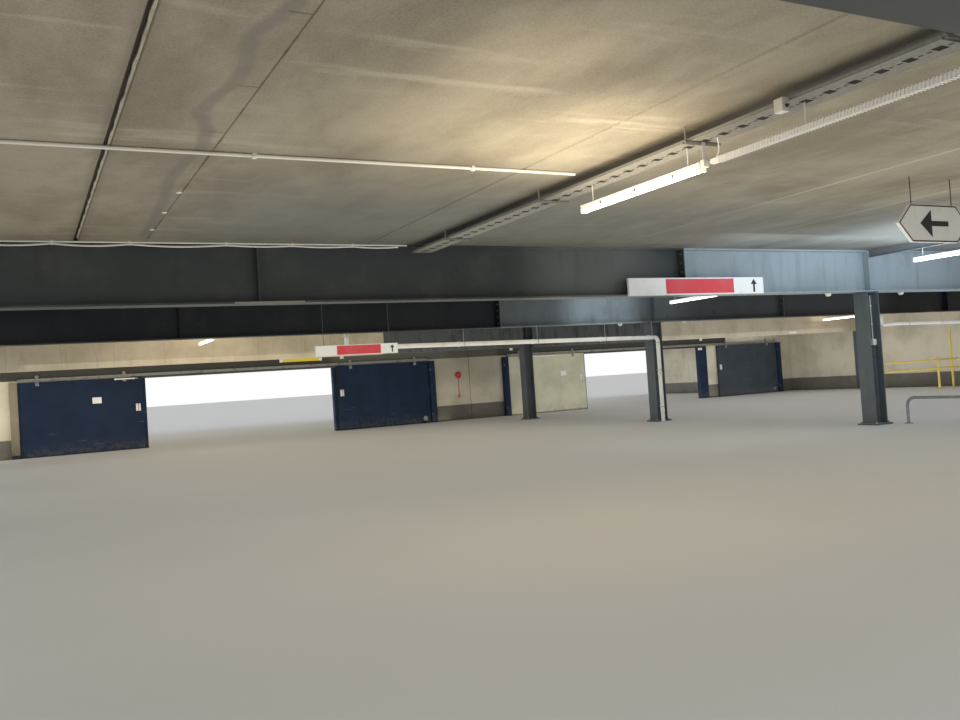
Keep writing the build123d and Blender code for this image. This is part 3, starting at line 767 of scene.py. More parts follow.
# painted shade: the lintels over the doors are darkened to the shade under the casing
SHADED_LINTELS = WallPaint("lintel_painted_shade", (0.1, 0.095, 0.08), aged=(0.05, 0.048, 0.042), run=(0.03, 0.028, 0.025))
BLUE = DoorPaint("door_blue_paint", (0.007, 0.0215, 0.058), (0.07, 0.068, 0.062), (0.16, 0.19, 0.22))
GREY_BLUE = DoorPaint("door_grey_blue_paint", (0.048, 0.062, 0.08), (0.08, 0.075, 0.065), (0.18, 0.2, 0.22))
POST_BLUE = DoorPaint("post_blue_paint", (0.009, 0.026, 0.065), (0.07, 0.068, 0.062), (0.16, 0.19, 0.22))
CREAM = DoorPaint("door_cream_paint", (0.56, 0.545, 0.4), (0.36, 0.32, 0.24), (0.4, 0.38, 0.33))
BROWN = DoorPaint("box_brown_paint", (0.24, 0.205, 0.15), (0.05, 0.045, 0.04), (0.3, 0.27, 0.22))
GEAR = BrushedSteel("door_gear_steel", (0.55, 0.55, 0.54))
ZINC = ZincCoat("zinc_coat", (0.62, 0.63, 0.64))
HOOP = ZincCoat("hoop_zinc", (0.4, 0.42, 0.43), (0.22, 0.23, 0.24))
BOLTS = ZincCoat("bolt_zinc", (0.5, 0.5, 0.48), (0.2, 0.19, 0.17), 0.8)
DARK_BOLTS = ZincCoat("painted_bolts", (0.16, 0.17, 0.175), (0.07, 0.07, 0.068), 0.2)
TRAY = ZincCoat("tray_zinc", (0.33, 0.325, 0.3), (0.24, 0.235, 0.22), 0.3)
FITTINGS = Coated("fitting_white", (0.76, 0.75, 0.7), wear=0.35)
PIPES = Coated("pipe_white", (0.78, 0.78, 0.76), (0.35, 0.33, 0.3), wear=0.3)
CONDUIT = Coated("conduit_grey", (0.8, 0.79, 0.74), wear=0.2)
TRUNKING = Coated("trunking_white", (0.93, 0.92, 0.9), (0.6, 0.59, 0.56), roughness=0.3, wear=0.15)
HOUSING = Coated("lamp_housing", (0.8, 0.8, 0.78), roughness=0.35)
GLOW = LampGlow("lamp_cover", (1.0, 0.98, 0.94))
BOARDS = SignFace("sign_enamel", (0.87, 0.89, 0.9))
RED = Coated("sign_red", (0.7, 0.06, 0.08), (0.6, 0.22, 0.24), roughness=0.35, wear=0.2)
PRINT = Coated("sign_print", (0.03, 0.03, 0.035), (0.1, 0.1, 0.1), roughness=0.5, wear=0.3)
BELL = Coated("bell_red", (0.5, 0.035, 0.03), (0.25, 0.05, 0.04), roughness=0.25, relief=0.04)
YELLOW = ChippedPaint("barrier_yellow", (0.75, 0.6, 0.1))
SEALANT = Coated("joint_seal", (0.03, 0.026, 0.022), (0.07, 0.055, 0.045), roughness=0.8, wear=0.5)
MORTAR = Coated("joint_mortar", (0.42, 0.39, 0.32), (0.16, 0.14, 0.11), roughness=0.85, wear=0.7, relief=0.3)
PLATE = Coated("label_plate", (0.8, 0.8, 0.79), (0.45, 0.44, 0.42), roughness=0.3)
LINES_PAINT = ChippedPaint("bay_lines", (0.7, 0.7, 0.68), (0.33, 0.33, 0.32))
IRON = Coated("gully_iron", (0.06, 0.06, 0.06), (0.16, 0.11, 0.07), roughness=0.6, metallic=0.4, wear=0.5)


class Shape:
    """Collects the solids of one piece in one mesh."""

    def __init__(self, start: Mesh | None = None) -> None:
        """Start the piece.

        Args:
            start: a mesh to start from, if there is one.
        """
        self.mesh = bmesh.new()
        if start is not None:
            self.mesh.from_mesh(start)

    def skin(self, rings: list[list[bmesh.types.BMVert]]) -> None:
        """Close a row of rings with faces round them and at both ends.

        Args:
            rings: rings with as many corners each.
        """
        for lower, upper in zip(rings, rings[1:]):
            for index in range(len(lower)):
                after = (index + 1) % len(lower)
                self.mesh.faces.new((lower[index], lower[after], upper[after], upper[index]))
        self.mesh.faces.new(list(reversed(rings[0])))
        self.mesh.faces.new(rings[-1])

    def prism(self, outline: list[Point], move: Point) -> None:
        """Add an outline, with its corners in order, drawn out along a straight move."""
        shifts = (Vector(), Vector(move))
        self.skin([[self.mesh.verts.new(Vector(corner) + shift) for corner in outline] for shift in shifts])

    def box(self, low: Point, high: Point, bevel: float = 0.0) -> None:
        """Add a block between two corners.

        Args:
            low: lowest corner.
            high: highest corner.
            bevel: width of the rounded edges.
        """
        size = [b - a for a, b in zip(low, high)]
        middle = [(a + b) / 2 for a, b in zip(low, high)]
        made = bmesh.ops.create_cube(self.mesh, size=1.0)
        place = Matrix.Translation(middle) @ Matrix.Diagonal((*size, 1))
        bmesh.ops.transform(self.mesh, matrix=place, verts=made["verts"])
        if bevel > 0:
            edges = list(dict.fromkeys(edge for vert in made["verts"] for edge in vert.link_edges))
            bmesh.ops.bevel(self.mesh, geom=edges, offset=bevel, segments=2, profile=0.6, affect="EDGES")

    def lathe(self, profile: list[Flat], origin: Point, axis: Point, segments: int = 24) -> None:
        """Add a turned shape.

        Args:
            profile: radius and height of each ring.
            origin: the foot of the axis.
            axis: the direction of the axis.
            segments: faces round the axis.
        """
        turn = Vector(axis).to_track_quat("Z", "Y").to_matrix().to_4x4()
        move = Matrix.Translation(origin) @ turn
        angles = [math.tau * index / segments for index in range(segments)]
        rings = []
        for radius, height in profile:
            spots = [Vector((radius * math.cos(angle), radius * math.sin(angle), height)) for angle in angles]
            rings.append([self.mesh.verts.new(move @ spot) for spot in spots])
        self.skin(rings)

    def rod(self, start: Point, end: Point, radius: float, segments: int = 16) -> None:
        """Add a straight round bar between the middles of its ends."""
        axis = Vector(end) - Vector(start)
        self.lathe([(radius, 0.0), (radius, axis.length)], start, tuple(axis), segments)

    def tube(self, points: list[Point], radius: float, segments: int = 12) -> None:
        """Add a round bar that follows points.

        Args:
            points: its middle line.
            radius: its radius.
            segments: faces round it.
        """
        places = [Vector(point) for point in points]
        angles = [math.tau * index / segments for index in range(segments)]
        rings = []
        side = None
        for index, place in enumerate(places):
            before = places[max(index - 1, 0)]
            after = places[min(index + 1, len(places) - 1)]
            direction = (after - before).normalized()
            if side is None:
                side = direction.orthogonal().normalized()
            side = (side - direction * side.dot(direction)).normalized()
            other = direction.cross(side)
            spots = [place + radius * (math.cos(angle) * side + math.sin(angle) * other) for angle in angles]
            rings.append([self.mesh.verts.new(spot) for spot in spots])
        self.skin(rings)

    def sheet(self, outline: list[Flat], y: float, thickness: float, facing: int = -1) -> None:
        """Add a thin upright plate from an outline in X and Z, out from a face towards -Y or +Y."""
        self.prism([(x, y, z) for x, z in outline], (0, facing * thickness, 0))

    def thing(self, name: str, finish: Finish) -> Thing:
        """Turn the mesh into an object with a finish.

        Args:
            name: its name.
            finish: its finish.

        Returns:
            The new object.
        """
        bmesh.ops.recalc_face_normals(self.mesh, faces=self.mesh.faces)
        data = bpy.data.meshes.new(name)
        self.mesh.to_mesh(data)
        self.mesh.free()
        made = bpy.data.objects.new(name, data)
        bpy.context.scene.collection.objects.link(made)
        data.materials.clear()
        data.materials.append(finish.material())
        return made

    def piece(
        self, name: str, finish: Finish, slot: Slot, body: Body = Body.BUILDING, smooth: bool = True
    ) -> Thing:
        """Turn the mesh into a piece that rides on a body.

        Args:
            name: its name.
            finish: its finish.
            slot: its slot in the record; not used.
            body: the body it rides on.
            smooth: shade curved faces smoothly.

        Returns:
            The new object.
        """
        made = self.thing(name, finish)
        if smooth:
            made.data.shade_smooth()
            made.data.set_sharp_from_angle(angle=math.radians(35))
        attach(made, body.value)
        log.info("%s: %d faces on %s", name, len(made.data.polygons), body.value)
        return made


def frame_bars(low: Flat, high: Flat, width: float) -> list[tuple[Flat, Flat]]:
    """Return the corners of four bars that lie just inside a rectangle.

    Args:
        low: its lowest corner.
        high: its highest corner.
        width: the bars' width.

    Returns:
        The lowest and highest corner of each bar.
    """
    (left, bottom), (right, top) = low, high
    return [
        ((left, bottom), (right, bottom + width)),
        ((left, top - width), (right, top)),
        ((left, bottom + width), (left + width, top - width)),
        ((right - width, bottom + width), (right, top - width)),
    ]


def dress(finish: Finish, *nodes: str) -> None:
    """Give CAD nodes a finish.

    Args:
        finish: the finish.
        nodes: the nodes' names.
    """
    for name in nodes:
        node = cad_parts[name]
        if not node.material_slots:
            node.data.materials.append(finish.material())
        for slot in node.material_slots:
            slot.material = finish.material()
        log.info("%s: finish %s", name, finish.name)


class RuleTree(NodeTree):
    """A geometry node tree with named sizes, run on a mesh and turned into a plain mesh."""

    def __init__(self, name: str, sizes: dict[str, float]) -> None:
        """Make the tree's inputs and output.

        Args:
            name: the tree's name.
            sizes: the named inputs and their usual values.
        """
        self.tree = bpy.data.node_groups.new(name, "GeometryNodeTree")
        face = self.tree.interface
        face.new_socket(name="Geometry", in_out="INPUT", socket_type="NodeSocketGeometry")
        self.keys: dict[str, str] = {}
        for label, size in sizes.items():
            kind = "NodeSocketInt" if isinstance(size, int) else "NodeSocketFloat"
            socket = face.new_socket(name=label, in_out="INPUT", socket_type=kind)
            socket.default_value = size
            self.keys[label] = socket.identifier
        finish = face.new_socket(name="Finish", in_out="INPUT", socket_type="NodeSocketMaterial")
        self.keys["Finish"] = finish.identifier
        face.new_socket(name="Geometry", in_out="OUTPUT", socket_type="NodeSocketGeometry")
        self.source = self.node("NodeGroupInput")
        self.target = self.node("NodeGroupOutput")

    def size(self, label: str) -> Socket:
        """Return a named input of the tree."""
        return self.source.outputs[label]

    def join(self, *parts: Socket) -> Socket:
        """Return several geometries as one.

        Args:
            parts: the geometries.

        Returns:
            The joined geometry.
        """
        joined = self.node("GeometryNodeJoinGeometry")
        for part in parts:
            self.tree.links.new(part, joined.inputs[0])
        return joined.outputs[0]

    def moved(self, geometry: Socket, **by: object) -> Socket:
        """Return geometry moved by X, Y or Z."""
        return self.out("GeometryNodeTransform", Geometry=geometry, Translation=self.vector(**by))

    def vector(self, **parts: object) -> Socket:
        """Return a vector of X, Y and Z."""
        return self.out("ShaderNodeCombineXYZ", **parts)

    def spread(self, points: Socket, shape: Socket, **others: object) -> Socket:
        """Return a shape set on every point."""
        return self.out("GeometryNodeInstanceOnPoints", Points=points, Instance=shape, **others)

    def close(self, geometry: Socket) -> None:
        """End the tree in real geometry with its finish.

        Args:
            geometry: what the tree has made.
        """
        real = self.out("GeometryNodeRealizeInstances", Geometry=geometry)
        done = self.out("GeometryNodeSetMaterial", Geometry=real, Material=self.size("Finish"))
        self.put(self.target.inputs[0], done)

    def run(self, start: Mesh, finish: Finish, **sizes: float) -> Mesh:
        """Run the tree on a mesh.

        Args:
            start: the mesh to start from.
            finish: the result's finish.
            sizes: sizes by name, with underscores for spaces.

        Returns:
            The plain mesh.
        """
        holder = bpy.data.objects.new("rule_holder", start)
        bpy.context.scene.collection.objects.link(holder)
        modifier = holder.modifiers.new("rule", "NODES")
        modifier.node_group = self.tree
        modifier[self.keys["Finish"]] = finish.material()
        for label, value in sizes.items():
            modifier[self.keys[label.replace("_", " ")]] = value
        shown = holder.evaluated_get(bpy.context.evaluated_depsgraph_get())
        result = bpy.data.meshes.new_from_object(shown)
        holder.modifiers.remove(modifier)
        bpy.data.objects.remove(holder)
        return result


class BoltTree(RuleTree):
    """Sets a bolt end (washer, hexagon and stud) on every point, turned to the point's facing."""

    shares: dict[str, float] = {
        "Washer Radius": 1.28, "Washer Height": 0.18, "Hexagon Radius": 1.0, "Hexagon Height": 0.74,
        "Stud Radius": 0.5, "Stud Length": 0.5,
    }

    def __init__(self) -> None:
        """Build the tree."""
        super().__init__("bolt_ends", {label: 0.02 * share for label, share in self.shares.items()})
        foot = 0.0
        parts = []
        for label, count in (("Washer", 16), ("Hexagon", 6), ("Stud", 10)):
            depth = self.size("Stud Length" if label == "Stud" else f"{label} Height")
            middle = self.math("MULTIPLY_ADD", depth, 0.5, foot)
            radius = self.size(f"{label} Radius")
            shape = self.out("GeometryNodeMeshCylinder", Vertices=count, Radius=radius, Depth=depth)
            parts.append(self.moved(shape, Z=middle))
            foot = self.math("ADD", foot, depth)
        facing = self.node("GeometryNodeInputNamedAttribute", Name="facing")
        facing.data_type = "FLOAT_VECTOR"
        turn = self.node("FunctionNodeAlignRotationToVector", Vector=facing.outputs[0])
        turn.axis = "Z"
        self.close(self.spread(self.size("Geometry"), self.join(*parts), Rotation=turn.outputs[0]))

    def place(
        self, name: str, spots: list[tuple[Point, Point]], radius: float, finish: Finish, slot: Slot,
        body: Body = Body.BUILDING,
    ) -> None:
        """Set bolts on spots and add them as one piece.

        Args:
            name: the piece's name.
            spots: place and facing of each bolt.
            radius: to the hexagon's corners.
            finish: the bolts' finish.
            slot: the record's slot.
            body: the body they ride on.
        """
        start = points_mesh(f"{name}_spots", [spot for spot, _ in spots])
        facing = start.attributes.new("facing", "FLOAT_VECTOR", "POINT")
        facing.data.foreach_set("vector", [part for _, way in spots for part in way])
        sizes = {label: radius * share for label, share in self.shares.items()}
        Shape(self.run(start, finish, **sizes)).piece(name, finish, slot, body, smooth=False)


class SheetTree(RuleTree):
    """A perforated sheet: cells with one opening and two dashes each, laid out in rows and columns."""

    def __init__(self) -> None:
        """Build the tree."""
        sizes = {"Rows": 44, "Columns": 3, "Pitch": 0.216, "Lane": 0.1, "Sheet": 0.0015}
        sizes |= {"Opening Length": 0.05, "Opening Width": 0.03, "Dash": 0.04}
        super().__init__("perforated_sheet", sizes)
        pitch, lane, dash = self.size("Pitch"), self.size("Lane"), self.size("Dash")
        dash_width = 0.017
        offset = self.both(pitch, 0.25)
        outlines = [self.out("GeometryNodeCurvePrimitiveQuadrilateral", Width=lane, Height=pitch)]
        cuts = (
            (self.size("Opening Width"), self.size("Opening Length"), self.both(offset, -1.0)),
            (dash_width, dash, self.both(offset, 0.4)),
            (dash_width, dash, self.both(offset, 1.6)),
        )
        for width, length, place in cuts:
            cut = self.out("GeometryNodeCurvePrimitiveQuadrilateral", Width=width, Height=length)
            outlines.append(self.moved(cut, Y=place))
        under = self.out("GeometryNodeFillCurve", Curve=self.join(*outlines))
        rise = self.vector(Z=self.size("Sheet"))
        upper = self.out("GeometryNodeExtrudeMesh", Mesh=under, Offset=rise, Individual=False)
        cell = self.join(upper, self.out("GeometryNodeFlipFaces", Mesh=under))
        columns, rows = self.size("Columns"), self.size("Rows")
        grid = self.out(
            "GeometryNodeMeshGrid", Vertices_X=columns, Vertices_Y=rows,
            Size_X=self.both(self.math("SUBTRACT", columns, 1.0), lane),
            Size_Y=self.both(self.math("SUBTRACT", rows, 1.0), pitch),
        )
        real = self.out("GeometryNodeRealizeInstances", Geometry=self.spread(grid, cell))
        self.close(self.out("GeometryNodeMergeByDistance", Geometry=real, Distance=0.0002))


class SaddleTree(RuleTree):
    """Sets a saddle clip over a conduit that runs along X, on every point."""

    def __init__(self) -> None:
        """Build the tree."""
        super().__init__("conduit_saddles", {"Pipe": 0.012, "Wall": 0.003, "Length": 0.018, "Foot": 0.022})
        outer = self.math("ADD", self.size("Pipe"), self.size("Wall"))
        length, foot_thick = self.size("Length"), 0.005
        collar = self.out("GeometryNodeMeshCylinder", Vertices=20, Radius=outer, Depth=length)
        turned = self.out("GeometryNodeTransform", Geometry=collar, Rotation=(0, math.pi / 2, 0))
        size = self.vector(X=length, Y=self.both(self.size("Foot"), 2.0), Z=foot_thick)
        foot = self.out("GeometryNodeMeshCube", Size=size)
        height = self.math("SUBTRACT", self.size("Pipe"), foot_thick / 2)
        saddle = self.join(turned, self.moved(foot, Z=height))
        self.close(self.spread(self.size("Geometry"), saddle))


class RibTree(RuleTree):
    """A row of thin square ribs along Y, from a start that is its first point."""

    def __init__(self) -> None:
        """Build the tree."""
        sizes = {"Count": 100, "Pitch": 0.03, "Width": 0.05, "Height": 0.05, "Rib": 0.008}
        super().__init__("cross_ribs", sizes)
        step = self.vector(Y=self.size("Pitch"))
        row = self.out("GeometryNodeMeshLine", Count=self.size("Count"), Offset=step)
        size = self.vector(X=self.size("Width"), Y=self.size("Rib"), Z=self.size("Height"))
        self.close(self.spread(row, self.out("GeometryNodeMeshCube", Size=size)))


def points_mesh(name: str, places: list[Point]) -> Mesh:
    """Return a mesh of loose points.

    Args:
        name: the mesh's name.
        places: the points.

    Returns:
        The mesh.
    """
    made = bpy.data.meshes.new(name)
    made.from_pydata(places, [], [])
    return made


@dataclass
class SteelFrame:
    """Columns, girders and ties with their bolts."""

    bolts: BoltTree
    columns_x: Row = (-SPAN, 0.0, SPAN)
    anchor: float = 0.175
    cap_bolt: Flat = (0.105, 0.125)
    splice_rows: Row = (0.09, 0.245, 0.4, 0.555, 0.71)
    splice_reach: float = 0.0205

    def anchor_bolts(self) -> None:
        """Nuts on the anchor studs of all the base plates."""
        corners = product(self.columns_x, LINES, (-self.anchor, self.anchor), (-self.anchor, self.anchor))
        spots = [((x + dx, y + dy, 0.03), UP) for x, y, dx, dy in corners]
        self.bolts.place("anchor_nuts", spots, 0.024, BOLTS, Slot.STEEL)

    def splice_bolts(self) -> None:
        """Heads and nuts on both end plates of every splice."""
        ends, columns = (-SPLICE_X, SPLICE_X), (-0.085, 0.085)
        spots = []
        for y, x, dy, dz, way in product(LINES, ends, columns, self.splice_rows, (-1, 1)):
            spots.append(((x + way * self.splice_reach, y + dy, HEADROOM + dz), (way, 0, 0)))
        self.bolts.place("splice_bolts", spots, 0.02, DARK_BOLTS, Slot.STEEL)

    def cap_bolts(self) -> None:
        """Bolts through the cap plates and the bottom flanges."""
        spots = []
        dx, dy = self.cap_bolt
        for x, y, sx, sy in product(self.columns_x, LINES, (-1, 1), (-1, 1)):
            for dz, way in ((-0.02, DOWN), (0.025, UP)):
                spots.append(((x + sx * dx, y + sy * dy, HEADROOM + dz), way))
        self.bolts.place("cap_bolts", spots, 0.0165, DARK_BOLTS, Slot.STEEL)

    def edge_plate(self) -> None:
        """A pale plate screwed to the edge of the first inner girder's bottom flange."""
        shape = Shape()
        face = LINES[1] - FLANGE_HALF
        shape.box((-12.19, face - 0.003, HEADROOM + 0.001), (-11.25, face, HEADROOM + 0.024), 0.0008)
        for x in (-12.15, -11.72, -11.29):
            shape.lathe([(0.006, 0.0), (0.004, 0.002)], (x, face - 0.003, HEADROOM + 0.0125), FRONT, 12)
        shape.piece("flange_edge_plate", TRAY, Slot.STEEL)

    def build(self) -> None:
        """Dress the frame and add its bolts."""
        dress(COLUMNS, "columns_left", "columns_middle", "columns_right")
        dress(TIES, "column_ties")
        dress(GIRDERS, "girder_line_1", "girder_line_2", "girder_line_6")
        dress(DARK_GIRDERS, "girder_line_3", "girder_line_4", "girder_line_5")
        self.anchor_bolts()
        self.splice_bolts()
        self.cap_bolts()
        self.edge_plate()


@dataclass
class Deck:
    """Planks, topping, kerb and guards, with joint seals, gullies and bay lines."""

    bolts: BoltTree
    half_length: float = 18.45
    seam_x: float = 14.05
    seam_half: float = 0.0215
    guard_x: float = 16.0
    guard_y: float = 18.35
    post_x: float = 16.07
    post_y: float = 18.19
    post_step_x: float = 32.14 / 13
    post_step_y: float = 36.38 / 15
    bay_width: float = 2.5
    bay_depth: float = 5.2
    line: float = 0.06
    gullies: Flats = ((-8.3, -1.442), (9.1, -1.442))

    def seals(self) -> None:
        """Hollow-faced seals in the two wide joints of the soffit."""
        shape = Shape()
        for side in (-1, 1):
            rows = []
            for share in (-1, -0.6, 0, 0.6, 1):
                rise = 0.010 + 0.012 * (1 - share * share)
                rows.append((side * self.seam_x + share * self.seam_half, SOFFIT + rise))
            rows += [(x, SOFFIT + 0.04) for x, _ in reversed(rows)]
            end = self.half_length - 0.01
            shape.prism([(x, -end, z) for x, z in rows], (0, 2 * end, 0))
        shape.piece("soffit_joint_seals", SEALANT, Slot.DECK)

    def lips(self) -> None:
        """Ragged mortar lips along the right half of the wide joints."""
        shape = Shape()
        end = self.half_length - 0.4
        count = 240
        for side in (-1, 1):
            middle = side * self.seam_x
            ragged = []
            for number in range(count + 1):
                wave = math.sin(number * 2.399) + 0.6 * math.sin(number * 5.1 + 1.3)
                y = -end + 2 * end * number / count
                ragged.append((middle + 0.004 + 0.004 * wave, y, SOFFIT + 0.003))
            for start, stop in zip(ragged, ragged[1:]):
                if any(start[1] - 0.2 < line < stop[1] + 0.2 for line in LINES):
                    continue
                far = middle + self.seam_half
                shape.prism([start, stop, (far, stop[1], stop[2]), (far, start[1], start[2])], (0, 0, 0.02))
        bmesh.ops.remove_doubles(shape.mesh, verts=shape.mesh.verts, dist=0.0001)
        shape.piece("soffit_joint_lips", MORTAR, Slot.DECK, smooth=False)

    def plugs(self) -> None:
        """Small white plugs in old fixing holes of the soffit."""
        shape = Shape()
        for y in (-11.25, -10.27, -9.26):
            profile = [(0.024, 0.0), (0.03, 0.004), (0.024, 0.012), (0.008, 0.015)]
            shape.lathe(profile, (-13.28, y, SOFFIT), DOWN, 16)
        shape.piece("soffit_plugs", FITTINGS, Slot.FITTING)

    def post_places(self) -> list[Flat]:
        """List the guard posts.

        Returns:
            X and Y of every post.
        """
        places = []
        for number, y in product(range(14), (-self.guard_y, self.guard_y)):
            places.append((-self.post_x + number * self.post_step_x, y))
        for number, x in product(range(16), (-self.guard_x, self.guard_x)):
            places.append((x, -self.post_y + number * self.post_step_y))
        return places

    def guard_feet(self) -> None:
        """Foot plates and bolts under the guard posts."""
        shape = Shape()
        spots = []
        for x, y in self.post_places():
            along_x = abs(y) > 18.3
            wide, deep = (0.07, 0.055) if along_x else (0.055, 0.07)
            if abs(x) > 16.05:
                wide = 0.03
            if not along_x and abs(y) > 18.1:
                deep = 0.035
            shape.box((x - wide, y - deep, KERB_TOP), (x + wide, y + deep, KERB_TOP + 0.012), 0.002)
            if wide + deep > 0.12:
                reach_x, reach_y = (0.05, 0.0) if along_x else (0.0, 0.05)
                for sign in (-1, 1):
                    spots.append(((x + sign * reach_x, y + sign * reach_y, KERB_TOP + 0.012), UP))
        shape.piece("guard_foot_plates", ZINC, Slot.ZINC)
        self.bolts.place("guard_foot_bolts", spots, 0.011, BOLTS, Slot.ZINC)

    def rail_sleeves(self) -> None:
        """Sleeves where the lengths of guard rail are joined, beside every fourth post."""
        shape = Shape()
        half, radius, from_post = 0.06, 0.0285, 0.25
        for rail in range(3):
            z = KERB_TOP + (rail + 1) / 3 - 0.036
            for y, number in product((-self.guard_y, self.guard_y), range(2, 13, 3)):
                x = -self.post_x + number * self.post_step_x + from_post
                shape.rod((x - half, y, z), (x + half, y, z), radius)
            for x, number in product((-self.guard_x, self.guard_x), range(2, 15, 3)):
                y = -self.post_y + number * self.post_step_y + from_post
                shape.rod((x, y - half, z), (x, y + half, z), radius)
        shape.piece("guard_rail_sleeves", ZINC, Slot.ZINC)

    def bay_lines(self) -> None:
        """Painted parking bay lines on the open deck, in two double rows."""
        shape = Shape()
        foot, top = DECK_TOP - 0.001, DECK_TOP + 0.0025
        half, deep, edge, count = self.line / 2, self.bay_depth, 15.35, 13
        end = count * self.bay_width / 2
        rows = ((-edge, deep - edge), (-deep, deep), (edge - deep, edge))
        for (low, high), number in product(rows, range(count + 1)):
            y = number * self.bay_width - end
            shape.box((low, y - half, foot), (high, y + half, top))
        shape.box((-half, -end - half, foot), (half, end + half, top + 0.0004))
        shape.piece("bay_lines", LINES_PAINT, Slot.TOPPING, smooth=False)

    def gully_grates(self) -> None:
        """Slotted grates over the two drain pipes."""
        shape = Shape()
        foot, half = DECK_TOP - 0.01, 0.15
        for x, y in self.gullies:
            for low, high in frame_bars((x - half, y - half), (x + half, y + half), 0.03):
                shape.box((*low, foot), (*high, foot + 0.018), 0.002)
            for number in range(9):
                bar = x - 0.108 + number * 0.027
                shape.box((bar - 0.007, y - 0.122, foot), (bar + 0.007, y + 0.122, foot + 0.016), 0.002)
        shape.piece("gully_grates", IRON, Slot.TOPPING)

    def build(self) -> None:
        """Dress the deck and add its pieces."""
        dress(PLANKS, *[f"deck_bay_{number}" for number in range(1, 6)])
        dress(TOPPING, "deck_topping", "deck_kerb")
        dress(ZINC, "deck_guard_front", "deck_guard_back", "deck_guard_left", "deck_guard_right")
        self.seals()
        self.lips()
        self.plugs()
        self.guard_feet()
        self.rail_sleeves()
        self.bay_lines()
        self.gully_grates()


@dataclass
class FireWall:
    """The wall, its casing, joint seal, lintel fittings and call point."""

    joint_x: float = -0.28
    bell: Flat = (-0.74, 1.61)
    releases: Row = (-5.05, 1.5, 10.62, 14.86)
    lights: tuple[Row, ...] = (
        (11.83, 4.743, 2.41, 0.19, 0.055), (10.56, WALL_FRONT - 0.002, 2.06, 0.11, 0.014),
    )

    def joint_seal(self) -> None:
        """A hollow-faced seal on both sides of the upright wall joint."""
        shape = Shape()
        for face, way in ((WALL_FRONT, 1), (WALL_BACK, -1)):
            outline = []
            for share in (-1, -0.5, 0, 0.5, 1):
                inset = 0.003 + 0.004 * (1 - share * share)
                outline.append((self.joint_x + share * 0.0072, face + way * inset))
            outline += [(x, face + way * 0.02) for x, _ in reversed(outline)]
            shape.prism([(x, y, 0.01) for x, y in outline], (0, 0, 3.19))
        shape.piece("wall_joint_seal", SEALANT, Slot.WALL)

    def bell_parts(self) -> None:
        """Gong and nut of the bell, and the ring and button of the call point."""
        x, z = self.bell
        front = (x, WALL_FRONT - 0.06, z)
        call_point = (x, WALL_FRONT - 0.04, 0.85)
        gong = Shape()
        rim = [(0.112, 0.016), (0.118, 0.018), (0.119, 0.03), (0.112, 0.045), (0.09, 0.058), (0.05, 0.066)]
        gong.lathe([*rim, (0.01, 0.07)], (x, WALL_FRONT, z), FRONT, 40)
        gong.piece("bell_gong", BELL, Slot.BELL)
        trim = Shape()
        trim.lathe([(0.012, 0.008), (0.012, 0.013), (0.009, 0.018), (0.004, 0.019)], front, FRONT, 6)
        trim.lathe([(0.034, -0.001), (0.034, 0.004), (0.028, 0.005)], call_point, FRONT)
        trim.piece("bell_nut_and_ring", PLATE, Slot.FITTING)
        button = Shape()
        button.lathe([(0.018, 0.004), (0.018, 0.010), (0.014, 0.014), (0.005, 0.015)], call_point, FRONT)
        button.piece("call_button", PRINT, Slot.FITTING)

    def release_boxes(self) -> None:
        """Small white release boxes above the doors, each with a lid and a cable stub."""
        shape = Shape()
        for x in self.releases:
            shape.box((x - 0.06, 8.545, 2.40), (x + 0.06, WALL_FRONT, 2.48), 0.006)
            shape.box((x - 0.052, 8.541, 2.407), (x + 0.052, 8.546, 2.473), 0.002)
            shape.rod((x, 8.575, 2.48), (x, 8.575, 2.62), 0.006, 10)
        shape.piece("release_boxes", FITTINGS, Slot.FITTING)

    def wall_lights(self) -> None:
        """Small white lights: one on the casing and one on the post of the right doorway."""
        shape = Shape()
        for x, y, z, half, deep in self.lights:
            shape.box((x - half, y - deep, z - 0.045), (x + half, y, z + 0.045), 0.2 * deep)
            half, face = half - 0.02, y - deep
            shape.box((x - half, face - 0.006, z - 0.03), (x + half, face + 0.001, z + 0.03), 0.002)
        shape.piece("wall_lights", HOUSING, Slot.LAMP)

    def build(self) -> None:
        """Dress the wall and add its pieces."""
        dress(WALLS, "fire_wall_left", "fire_wall_middle", "fire_wall_right", "side_wall")
        # the lintels take painted shade
        dress(SHADED_LINTELS, "fire_wall_lintel_left", "fire_wall_lintel_right")
        dress(CASING, "girder_casing")
        dress(POST_BLUE, "door_posts")
        dress(BELL, "alarm_bell")
        self.joint_seal()
        self.bell_parts()
        self.release_boxes()
        self.wall_lights()


